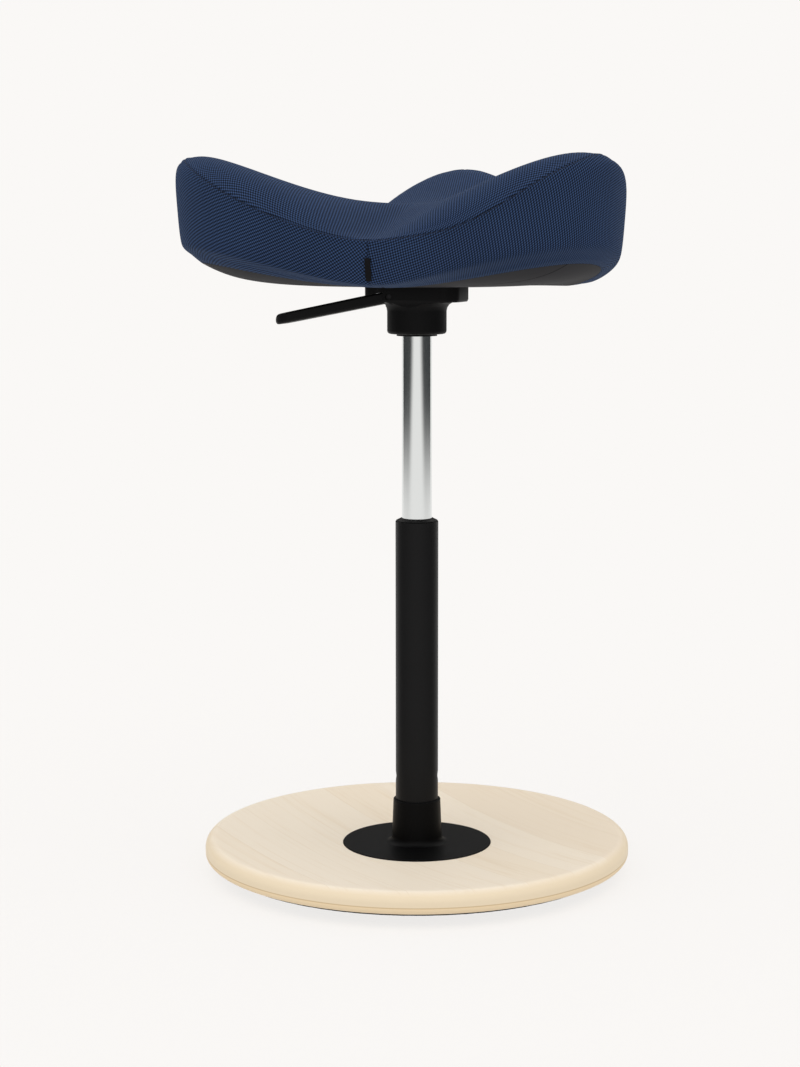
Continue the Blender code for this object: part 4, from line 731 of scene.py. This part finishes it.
def swellAt(angle, panel, share):
    # The simulated move, less the inset it started from, read between sections and rows
    if swell is None:
        return 0.0
    grid, rows = swell["grid"], swell[panel]
    turn = angle / (2 * pi) * len(grid)
    column = floor(turn)
    mix = turn - column
    row = max(index for index, value in enumerate(rows[:-1]) if value <= share + 1e-9)
    part = (share - rows[row]) / (rows[row + 1] - rows[row])
    base = row if panel == "top" else row + len(swell["top"]) - 1
    value = 0.0
    for side, weight in ((column % len(grid), 1 - mix), ((column + 1) % len(grid), mix)):
        value += weight * (grid[side][base] * (1 - part) + grid[side][base + 1] * part)
    nearEdge = min(share, 1 - share) if panel == "side" else 1 - share
    return value - swell["inset"] * min(nearEdge * 12, 1.0)  # the inset fades over a twelfth of the panel


uprightSeams = (0.0, pi + 0.010)  # front and rear; in the picture the rear one stands left of the middle


def clothAngles():
    # Sections for the fine mesh: even ones, and close ones on both sides of the two upright seams
    sections, clear = 216, 0.009
    near = [(seam + way * offset / rearReach) % (2 * pi) for seam in uprightSeams for way in (1, -1)
            for offset in (0.0006, 0.0012, 0.002, 0.003, 0.0045, 0.0065)]
    kept = [2 * pi * index / sections for index in range(sections)]
    kept = [angle for angle in kept
            if all(abs((angle - seam + pi) % (2 * pi) - pi) > clear / rearReach for seam in uprightSeams)]
    return sorted(kept + near + list(uprightSeams))


def makeCushion():
    # Foam body in its sewn cover: a top panel, and two half side panels that meet at the rear and front
    sewing = {"rows": 54, "grooveDepth": 0.0010, "grooveWidth": 0.0010, "uprightDepth": 0.0008,
              "uprightWidth": 0.0009, "uprightStart": 0.004, "pucker": 0.00035, "puckerPitch": 0.011,
              "puckerReach": 0.010, "puckerAt": {"top": 3.0, "side": 9.0}, "seamPaintedShade": 0.32,
              "uprightPaintedShade": 0.35, "paintedShadeWidth": 0.0008, "topCut": radians(9), "leftCut": radians(53),
              "rightCut": radians(-12),
              # Rows turned under at the hem: steps past its edge with their lift, then steps over the shell
              "hemTurn": 0.0012, "hemUnder": ((0.0, 0.0012), (0.12, 0.0030), (0.36, 0.0030)),
              "hemBack": 0.44, "hemOver": (9.6, 10.6), "hemClear": 0.0018, "hemPlay": 0.0002}
    top, side = seatRows(sewing["rows"])
    angles = clothAngles()
    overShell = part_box("seat_shell")[1].z + sewing["hemClear"]
    seam = len(top) - 2  # its row in a column; the point in the seat's middle is in no column

    def dent(away, width):
        return 1 / (1 + (away / width) ** 4)
    points, paintedShades, cloth, columns = [], {}, {}, []
    for angle in angles:
        section = Section(angle)
        upright = min(abs(angle - uprightSeams[1]), angle, 2 * pi - angle) * rearReach
        rows = [("top", share, max(section.seam * share, 0.001)) for share in top]
        rows += [("side", share, section.seam + (section.hem - section.seam) * share) for share in side[1:]]
        spots = [section.point(step) for panel, share, step in rows]
        runs = [0.0]  # length along the section from the seat's middle
        for before, spot in zip(spots, spots[1:]):
            runs.append(runs[-1] + (spot - before).length)
        start = len(points)
        for (panel, share, step), spot, run in list(zip(rows, spots, runs))[1:]:
            away = abs(run - runs[len(top) - 1])
            wave = noise.noise(Vector((spot.x, spot.y, sewing["puckerAt"][panel])) / sewing["puckerPitch"])
            lift = swellAt(angle, panel, share) - sewing["grooveDepth"] * dent(away, sewing["grooveWidth"])
            lift += sewing["pucker"] * wave * max(0.0, 1 - away / sewing["puckerReach"])
            # Painted shade: the cloth is darkened along the seam's crease, and on the side panels along the
            # upright seams too
            shade = 1 - sewing["seamPaintedShade"] * dent(away, sewing["paintedShadeWidth"])
            if panel == "side":
                dip = sewing["uprightDepth"] * dent(upright, sewing["uprightWidth"])
                lift -= dip * min(away / sewing["uprightStart"], 1.0)
                shade *= 1 - sewing["uprightPaintedShade"] * dent(upright, sewing["paintedShadeWidth"])
            turn = angle + sewing["topCut"]
            cloth[len(points)] = (run * sin(turn), run * cos(turn))
            paintedShades[len(points)] = shade
            points.append(spot + seatNormal(angle, step) * lift)
        foot = section.past(section.hem, sewing["hemTurn"])
        points += [section.point(foot + step, lift) for step, lift in sewing["hemUnder"]]
        for step in (foot + sewing["hemBack"], *sewing["hemOver"]):
            point = section.point(step)
            point.z = max(point.z + overShell - saddle["flat"] - sewing["hemPlay"], overShell)
            points.append(point)
        columns.append(range(start, len(points)))
    crown, base = len(points), len(points) + 1
    points += [Section(0.0).point(0.0, swellAt(0.0, "top", 0.0)), Vector((0, 0, overShell))]
    faces = []
    for here, there in roundPairs(columns):
        faces.append((crown, there[0], here[0]))
        faces += [(here[row], there[row], there[row + 1], here[row + 1]) for row in range(len(here) - 1)]
        faces.append((base, here[-1], there[-1]))
    mesh = meshFrom("saddleCushion", points, faces)
    item = placeMesh("saddleCushion", mesh, material["blueHopsackWoven"])
    # each point keeps its painted seam shade for the cloth's colour
    mesh.attributes.new("paintedSeamShade", "FLOAT", "POINT").data.foreach_set(
        "value", [paintedShades.get(index, 1.0) for index in range(len(points))])

    # Cloth coordinates of the side panels: length round the strip, measured half way down it, and length
    # down from the seam, both turned by how each half was cut
    along, down = [0.0], {}
    halfway = [section.point((section.seam + section.hem) / 2) for section in map(Section, angles)]
    for before, spot in zip(halfway, halfway[1:]):
        along.append(along[-1] + (spot - before).length)
    for column in columns:
        down[column[seam]] = 0.0
        for above, below in zip(column[seam:], column[seam + 1:]):
            down[below] = down[above] + (points[below] - points[above]).length
    rear = angles.index(uprightSeams[1])
    size = len(columns[0])
    layer = mesh.uv_layers.new(name="cloth")
    for face in mesh.polygons:
        inColumns = [corner for corner in face.vertices if corner < crown]
        onSide = max(corner % size for corner in inColumns) > seam
        numbers = [corner // size for corner in inColumns]
        wraps = max(numbers) - min(numbers) > 1
        cut = sewing["leftCut"] if max(numbers) > rear or wraps else sewing["rightCut"]
        for loop, corner in zip(face.loop_indices, face.vertices):
            if corner >= crown:
                place = (0.0, 0.0)
            elif onSide:
                across = along[-1 if wraps and corner < size else corner // size] - along[rear]
                drop = down[corner]
                place = (across * cos(cut) - drop * sin(cut), across * sin(cut) + drop * cos(cut))
            else:
                place = cloth[corner]
            layer.data[loop].uv = place
    mesh.shade_smooth()
    settle(item, "seat", "blue_woven_fabric", "cover_top", "cover_side", "seat_foam")
    return [points[column[seam]] for column in columns]


swell = simulateSwell()
seamLine = makeCushion()
print("cushion done")


def stitchTree():
    # Lays one short thread after another along a path, each sunk at its ends
    tree, start, end = geometryTree("stitchNodes", ("Pitch", "Float"), ("Thread Radius", "Float"),
                                    ("Stretch", "Float"))
    path = addNode(tree, "GeometryNodeMeshToCurve", {"Mesh": start})
    spots = addNode(tree, "GeometryNodeCurveToPoints", {"Curve": path, "Length": start.outputs["Pitch"]},
                    mode="LENGTH")
    thread = addNode(tree, "GeometryNodeMeshUVSphere",
                     {"Segments": 6, "Rings": 5, "Radius": start.outputs["Thread Radius"]})
    lengthways = addNode(tree, "ShaderNodeCombineXYZ", {0: 1.0, 1: 1.0, 2: start.outputs["Stretch"]})
    drawn = addNode(tree, "GeometryNodeTransform", {"Geometry": thread, "Scale": lengthways})
    turn = addNode(tree, "FunctionNodeAlignRotationToVector", {"Vector": spots.outputs["Tangent"]}, axis="Z")
    placed = addNode(tree, "GeometryNodeInstanceOnPoints",
                     {"Points": spots, "Instance": drawn, "Rotation": turn})
    return endTree(tree, start, end, placed)


def makeStitches():
    # Locked stitches that show as short dark threads deep in the seam between top and side panel
    stitch = {"pitch": 0.0034, "radius": 0.00032, "stretch": 4.3, "sink": 0.00012}
    points = [point - Vector((0, 0, stitch["sink"])) for point in seamLine]
    seed = meshFrom("seamPath", points, edges=roundPairs(range(len(points))))
    item = grow("seamStitches", seed, stitchTree(), {
        "Pitch": stitch["pitch"], "Thread Radius": stitch["radius"], "Stretch": stitch["stretch"],
        "Finish": material["twistedThread"]})
    smooth(item, 80)
    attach(item, "seat")


def sleeve(ring, count):
    # Faces of a closed tube and its two ends, from the order of the corners in one of its rings
    size = len(ring)
    faces = [(row * size + near, row * size + far, (row + 1) * size + far, (row + 1) * size + near)
             for row in range(count - 1) for near, far in roundPairs(ring)]
    return [*faces, ring, [(count - 1) * size + corner for corner in reversed(ring)]]


def makeLabel():
    # A bare woven tab, folded double, that hangs from the upright rear seam over the side panel
    tab = {"width": 0.005, "length": 0.0197, "drop": 0.0154, "thickness": 0.0010, "clear": 0.0004, "rows": 14,
           "shift": -0.0016, "endShare": 0.6, "edgeShare": 0.75, "edgeStart": 0.42, "besideSeam": 0.03}
    section = Section(pi)
    seamHeight = section.point(section.seam).z
    points = []
    for row in range(tab["rows"] + 1):
        want = seamHeight - tab["drop"] - tab["length"] * row / tab["rows"]
        low, high = section.seam, section.hem
        for halving in range(24):
            step = (low + high) / 2
            low, high = (step, high) if section.point(step).z > want else (low, step)
        share = (low - section.seam) / (section.hem - section.seam)
        normal = seatNormal(pi, low)
        out = max(swellAt(pi + beside, "side", share) for beside in (-tab["besideSeam"], tab["besideSeam"]))
        thickness = tab["thickness"] * (tab["endShare"] if row in (0, tab["rows"]) else 1.0)
        inner = section.point(low) + normal * (out + tab["clear"])
        middle = inner + normal * thickness / 2
        for across in (-0.5, -tab["edgeStart"], tab["edgeStart"], 0.5):
            half = normal * thickness / 2 * (tab["edgeShare"] if abs(across) == 0.5 else 1.0)
            aside = Vector((across * tab["width"] + tab["shift"], 0, 0))
            points += [middle - half + aside, middle + half + aside]
    faces = sleeve([0, 2, 4, 6, 7, 5, 3, 1], tab["rows"] + 1)
    item = placeMesh("seamTab", meshFrom("seamTab", points, faces), material["wovenTape"])
    smooth(item, 60)
    settle(item, "seat", "black_tab", "label_tab")


def makeUnderside():
    # The formed skin under the seat: it meets the cover at the hem and lies flat round the mechanism
    skin = {"thickness": 0.0012, "sides": 192, "rows": 40, "hole": 0.0023, "holeClear": 0.0003}
    count, last = skin["rows"], saddle["lastStep"]
    points = []
    for index in range(skin["sides"]):
        section = Section(2 * pi * index / skin["sides"])
        edge = section.past(section.hem, seatGap)
        steps = [edge + nudge + (last - edge - nudge) * row / count for row in range(count)]
        points += [section.point(step) for step in steps]
        points += [section.point(step, skin["thickness"]) for step in reversed([edge, *steps[1:]])]
    middle = len(points)
    points += [Section(0).point(last), Section(0).point(last, skin["thickness"])]
    rows = 2 * count
    faces = []
    for index in range(skin["sides"]):
        here, there = index * rows, (index + 1) % skin["sides"] * rows
        faces += [(here + row, there + row, there + (row + 1) % rows, here + (row + 1) % rows)
                  for row in range(rows) if row != count - 1]
        faces += [(here + count - 1, there + count - 1, middle), (there + count, here + count, middle + 1)]
    mesh = meshFrom("undersideSkin", points, faces)
    item = placeMesh("undersideSkin", mesh, material["formedPolypropylene"])
    for number in range(1, 5):
        spot = sum(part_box(f"housing_screw_{number}"), Vector()) / 2
        bore(item, skin["hole"] + skin["holeClear"], "formedPolypropylene",
             Matrix.Translation((spot.x, spot.y, saddle["flat"])), 24)
    smooth(item)
    settle(item, "seat", "grey_moulded_cover", "underside_cover")


makeStitches()
makeLabel()
makeUnderside()
print("stitches, label and underside done")


def makeLever():
    # A paddle with a rounded tip and softly rounded edges; its arm runs into the mechanism over the pin
    shape = {"reach": 0.1360, "tipDepth": 0.03195, "tipThickness": 0.0097, "rootDepth": 0.0046,
             "rootThickness": 0.0112, "armThickness": 0.0060, "armOver": 0.0065, "gripHalf": 0.0170,
             "rootHalf": 0.0120, "armHalf": 0.0080, "tipRounding": 0.0170, "noseRounding": 0.0070,
             "edge": 0.0024, "edgeShare": 0.46, "pinBore": 0.0023, "rootAt": -0.0285, "tipRows": 24,
             "rows": 20}
    pivot = sum(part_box("lever_pin"), Vector()) / 2
    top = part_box("mechanism_housing")[1].z
    tip, root = -shape["reach"], shape["rootAt"]
    tipEnd = tip + shape["tipRounding"]
    armStart = pivot.x + shape["pinBore"] + shape["edge"]
    tipTop, rootTop = top - shape["tipDepth"] + shape["tipThickness"] / 2, top - shape["rootDepth"]
    tipLow, rootLow = tipTop - shape["tipThickness"], rootTop - shape["rootThickness"]
    armTop, armLow = (pivot.z + side * shape["armThickness"] / 2 for side in (1, -1))

    def along(x, start, stop, atStart, atStop):
        return atStart + (atStop - atStart) * min(max((x - start) / (stop - start), 0), 1)

    def roundness(x, rounding):
        return sqrt(1 - (1 - min((x - tip) / rounding, 1)) ** 2)
    stations = [tip + shape["tipRounding"] * (1 - cos(pi / 2 * row / shape["tipRows"]))
                for row in range(1, shape["tipRows"] + 1)]
    stations += [tipEnd + (root - tipEnd) * row / shape["rows"] for row in range(1, shape["rows"] + 1)]
    stations += [pivot.x, armStart, shape["armOver"]]
    points = []
    for x in stations:
        if x > pivot.x:
            high = along(x, pivot.x, armStart, rootTop, armTop)
            low = along(x, pivot.x, armStart, rootLow, armLow)
            half = along(x, pivot.x, armStart, shape["rootHalf"], shape["armHalf"])
        else:
            high = along(x, tip, root, tipTop, rootTop)
            low = along(x, tip, root, tipLow, rootLow)
            half = along(x, tipEnd, root, shape["gripHalf"], shape["rootHalf"])
        half *= roundness(x, shape["tipRounding"])
        middle, thick = (low + high) / 2, (high - low) / 2 * roundness(x, shape["noseRounding"])
        low, high = middle - thick, middle + thick
        edge = min(shape["edge"], shape["edgeShare"] * (high - low), shape["edgeShare"] * half)
        corners = [(half, low, edge), (half, high, edge), (-half, high, edge), (-half, low, edge)]
        points += [(x, *point) for point in rounded(corners, 7)]
    faces = sleeve(list(range(len(points) // len(stations))), len(stations))
    item = placeMesh("releaseLever", meshFrom("releaseLever", points, faces), material["mouldedNylon"])
    bore(item, shape["pinBore"], "mouldedNylon", Matrix.Translation(pivot) @ Matrix.Rotation(pi / 2, 4, "X"))
    smooth(item, 40)
    settle(item, "lever", "black_plastic", "lever")


def makeHousing():
    # The cast body of the mechanism: a square plate over a flared round neck, a little broader and
    # deeper in the picture than the solid that carries it
    cast = {"widerFrom": 0.0382, "widerBy": 0.0029, "deeperBelow": 0.5359, "deeperBy": 0.0014,
            "topAbove": 0.5478, "topBy": 0.00022, "weld": 0.00002}
    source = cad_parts["mechanism_housing"]
    shape = bmesh.new()
    shape.from_mesh(source.data)
    shape.transform(source.matrix_world)
    bmesh.ops.remove_doubles(shape, verts=shape.verts, dist=cast["weld"])
    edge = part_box("mechanism_housing")[1].x
    for vertex in shape.verts:
        past = (abs(vertex.co.x) - cast["widerFrom"]) / (edge - cast["widerFrom"])
        if past > 0:
            vertex.co.x += (1 if vertex.co.x > 0 else -1) * cast["widerBy"] * min(past, 1)
        if vertex.co.z < cast["deeperBelow"]:
            vertex.co.z -= cast["deeperBy"]
        if vertex.co.z > cast["topAbove"]:
            vertex.co.z += cast["topBy"]
    mesh = bpy.data.meshes.new("castHousing")
    shape.to_mesh(mesh)
    shape.free()
    item = placeMesh("castHousing", mesh, material["coatedDieCasting"])
    smooth(item, 28)
    settle(item, "seat", "black_cast_housing", "mechanism_housing")


def coatFrame():
    # The pieces that the frame already shapes well, most of them inside, take their finish here
    coats = {
        "calenderedRubber": ("rubber_sole", "buffer_ring", "rod_seal"),
        "zincPlatedSteel": ("tube_end_cap", "lower_race", "upper_race", "piston_rod", "rod_washer",
                            "rod_clip", "rod_guide", "valve_pin", "flange_screw_", "housing_screw_", "tee_nut_"),
        "blackedSteel": ("lever_pin", "pin_clip_left", "pin_clip_right"),
        "pressedBrass": ("ball_cage",),
        "turnedAluminium": ("piston",),
        "mouldedNylon": ("piston_ring",),
        "pressedBeechPly": ("seat_shell",),
    }
    coated = 0
    for name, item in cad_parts.items():
        for coat, nodes in coats.items():
            if name in nodes or any(node.endswith("_") and name.startswith(node) for node in nodes):
                for slot in item.material_slots:
                    slot.material = material[coat]
                coated += 1
    return coated


makeLever()
makeHousing()
print("lever and housing done;", coatFrame(), "frame pieces coated")


room = {
    "pale": "#faf8f6",
    "floorShare": 0.15,
    "fadeStart": 0.55,
    "fadeEnd": 1.6,
    # Flags: metres, and degrees from the camera
    "flagColour": "#3e4041",
    "flagRadius": 4.5,
    "flagTop": 2.2,
    "flagBottom": -3.0,
    "rearLow": 0.42,
    "flagFrom": 14,
    "flagTo": 126,
    "flagSteps": 24,
    "flagFadeLow": -0.25,
    "flagFadeHigh": 0.13,
    # Their inner edges are soft and lean outwards towards the floor: degrees, and degrees a metre
    "edgeStart": 32,
    "edgeEnd": 69,
    "edgeLean": 60,
    "leanTop": 0.29,
    # Below the floor they come again, softer, for what is seen from higher up
    "lowMiddle": 92,
    "lowHalf": 40,
    "lowStart": -0.30,
    "lowFull": -0.62,
    "lowShare": 0.85,
}
# Worked out from the picture: where the column's edges, the plate's ellipse and the horizon lie
cameraSet = {"azimuth": 15, "distance": 2.013, "height": 0.5879, "pitch": 7.611, "focal": 2176,
             "imageWidth": 800, "imageHeight": 1067, "axisColumn": 416.9}
# Each sun with its strength, spread, azimuth and elevation
lampSet = {"world": 0.72, "suns": (("topLight", 0.72, 70, 10, 72), ("leftFill", 0.40, 80, -40, 28),
                                   ("rightFill", 0.35, 80, 75, 25))}


def sheer(name):
    # An empty material for the room; returns it with its tree and the place on the piece
    sheet = bpy.data.materials.new(name)
    tree = emptyTree(sheet)
    return sheet, tree, addNode(tree, "ShaderNodeTexCoord").outputs["Object"]


def showBy(tree, share, shader):
    # Lets a share of the shader show, and nothing of the rest
    mixed = addNode(tree, "ShaderNodeMixShader",
                    {0: share, 1: addNode(tree, "ShaderNodeBsdfTransparent"), 2: shader})
    addNode(tree, "ShaderNodeOutputMaterial", {"Surface": mixed})


def makeFloor():
    # A pale floor that fades into the same pale surroundings
    half = room["fadeEnd"]
    sheet, tree, place = sheer("paleFloor")
    away = addNode(tree, "ShaderNodeVectorMath", {0: place}, operation="LENGTH")
    fade = addNode(tree, "ShaderNodeMapRange", {
        "Value": away, "From Min": room["fadeStart"], "From Max": half, "To Min": room["floorShare"],
        "To Max": 0.0}, interpolation_type="SMOOTHSTEP")
    showBy(tree, fade, addNode(tree, "ShaderNodeBsdfDiffuse", {"Color": toLinear(room["pale"])}))
    corners = [(-half, -half, 0), (half, -half, 0), (half, half, 0), (-half, half, 0)]
    return placeMesh("floorSheet", meshFrom("floorSheet", corners, [(0, 1, 2, 3)]), sheet)


def makeFlags():
    # Dark flags round the stool that only reflections see
    flag, tree, place = sheer("greyFlag")
    height = addNode(tree, "ShaderNodeSeparateXYZ", {0: place}).outputs["Z"]
    turned = addNode(tree, "ShaderNodeAttribute", attribute_name="turned").outputs["Fac"]
    rise = addNode(tree, "ShaderNodeMapRange", {
        "Value": height, "From Min": room["flagFadeLow"], "From Max": room["flagFadeHigh"]},
        interpolation_type="SMOOTHSTEP")
    capped = addNode(tree, "ShaderNodeMath", {0: height, 1: room["leanTop"]}, operation="MINIMUM")
    leaning = addNode(tree, "ShaderNodeMath", {0: capped, 1: room["edgeLean"], 2: turned},
                      operation="MULTIPLY_ADD")
    inward = addNode(tree, "ShaderNodeMapRange", {
        "Value": leaning, "From Min": room["edgeStart"], "From Max": room["edgeEnd"]},
        interpolation_type="SMOOTHSTEP")
    upper = addNode(tree, "ShaderNodeMath", {0: rise, 1: inward}, operation="MULTIPLY")
    beside = addNode(tree, "ShaderNodeMath", {0: turned, 1: room["lowMiddle"]}, operation="SUBTRACT")
    aside = addNode(tree, "ShaderNodeMath", {0: beside}, operation="ABSOLUTE")
    bell = addNode(tree, "ShaderNodeMapRange", {
        "Value": aside, "From Min": room["lowHalf"], "From Max": 0.0, "To Max": room["lowShare"]},
        interpolation_type="SMOOTHSTEP")
    sunk = addNode(tree, "ShaderNodeMapRange", {
        "Value": height, "From Min": room["lowStart"], "From Max": room["lowFull"]},
        interpolation_type="SMOOTHSTEP")
    lower = addNode(tree, "ShaderNodeMath", {0: bell, 1: sunk}, operation="MULTIPLY")
    dark = addNode(tree, "ShaderNodeMath", {0: upper, 1: lower}, operation="MAXIMUM")
    showBy(tree, dark, addNode(tree, "ShaderNodeEmission", {"Color": toLinear(room["flagColour"])}))
    start, stop, steps = room["flagFrom"], room["flagTo"], room["flagSteps"]
    flags = []
    for name, first, last, low in (("flagLeft", -stop, -start, room["flagBottom"]),
                                   ("flagRight", start, stop, room["flagBottom"]),
                                   ("flagRear", stop, 360 - stop, room["rearLow"])):
        points, away = [], []
        for index in range(steps + 1):
            fromCamera = first + (last - first) * index / steps
            turn = radians(cameraSet["azimuth"] + fromCamera)
            spot = Vector((sin(turn), -cos(turn), 0)) * room["flagRadius"]
            points += [spot + Vector((0, 0, low)), spot + Vector((0, 0, room["flagTop"]))]
            away += [abs(fromCamera)] * 2
        faces = [(2 * index, 2 * index + 2, 2 * index + 3, 2 * index + 1) for index in range(steps)]
        item = placeMesh(name, meshFrom(name, points, faces), flag)
        item.data.attributes.new("turned", "FLOAT", "POINT").data.foreach_set("value", away)
        for rays in ("camera", "diffuse", "shadow", "transmission", "volume_scatter"):
            setattr(item, "visible_" + rays, False)
        flags.append(item)
    return flags


def makeWorld():
    # The same pale tone all round: full for the camera and for reflections, less as light
    world = bpy.data.worlds.new("paleRoom")
    bpy.context.scene.world = world
    tree = emptyTree(world)
    path = addNode(tree, "ShaderNodeLightPath").outputs
    seen = addNode(tree, "ShaderNodeMath", {0: path["Is Camera Ray"], 1: path["Is Glossy Ray"]},
                   operation="MAXIMUM")
    seen = addNode(tree, "ShaderNodeMath", {0: seen, 1: path["Is Transmission Ray"]}, operation="MAXIMUM")
    strength = addNode(tree, "ShaderNodeMapRange", {"Value": seen, "To Min": lampSet["world"], "To Max": 1.0})
    back = addNode(tree, "ShaderNodeBackground", {"Color": toLinear(room["pale"]), "Strength": strength})
    addNode(tree, "ShaderNodeOutputWorld", {"Surface": back})


def makeLamps():
    # Very soft light from above, from the left front and from the right: the picture has hardly a shadow
    for name, strength, spread, azimuth, elevation in lampSet["suns"]:
        lamp = bpy.data.lights.new(name, "SUN")
        lamp.energy = strength
        lamp.angle = radians(spread)
        item = newObject(name, lamp)
        turn, lift = radians(azimuth), radians(elevation)
        toLamp = Vector((sin(turn) * cos(lift), -cos(turn) * cos(lift), sin(lift)))
        item.rotation_euler = toLamp.to_track_quat("Z", "Y").to_euler()
        item.visible_glossy = name == "topLight"  # the fills leave no gleam on the chrome


def makeCamera():
    lens = bpy.data.cameras.new("camera")
    lens.sensor_width = 36
    lens.lens = cameraSet["focal"] / cameraSet["imageHeight"] * lens.sensor_width
    lens.shift_x = (cameraSet["imageWidth"] / 2 - cameraSet["axisColumn"]) / cameraSet["imageHeight"]
    lens.clip_end = 50
    item = newObject("camera", lens)
    turn = radians(cameraSet["azimuth"])
    away = cameraSet["distance"]
    item.location = (sin(turn) * away, -cos(turn) * away, cameraSet["height"])
    item.rotation_euler = (pi / 2 - radians(cameraSet["pitch"]), 0, turn)
    bpy.context.scene.camera = item


makeFloor()
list(makeFlags())
makeWorld()
makeLamps()
makeCamera()
bpy.context.scene.view_settings.view_transform = "Standard"
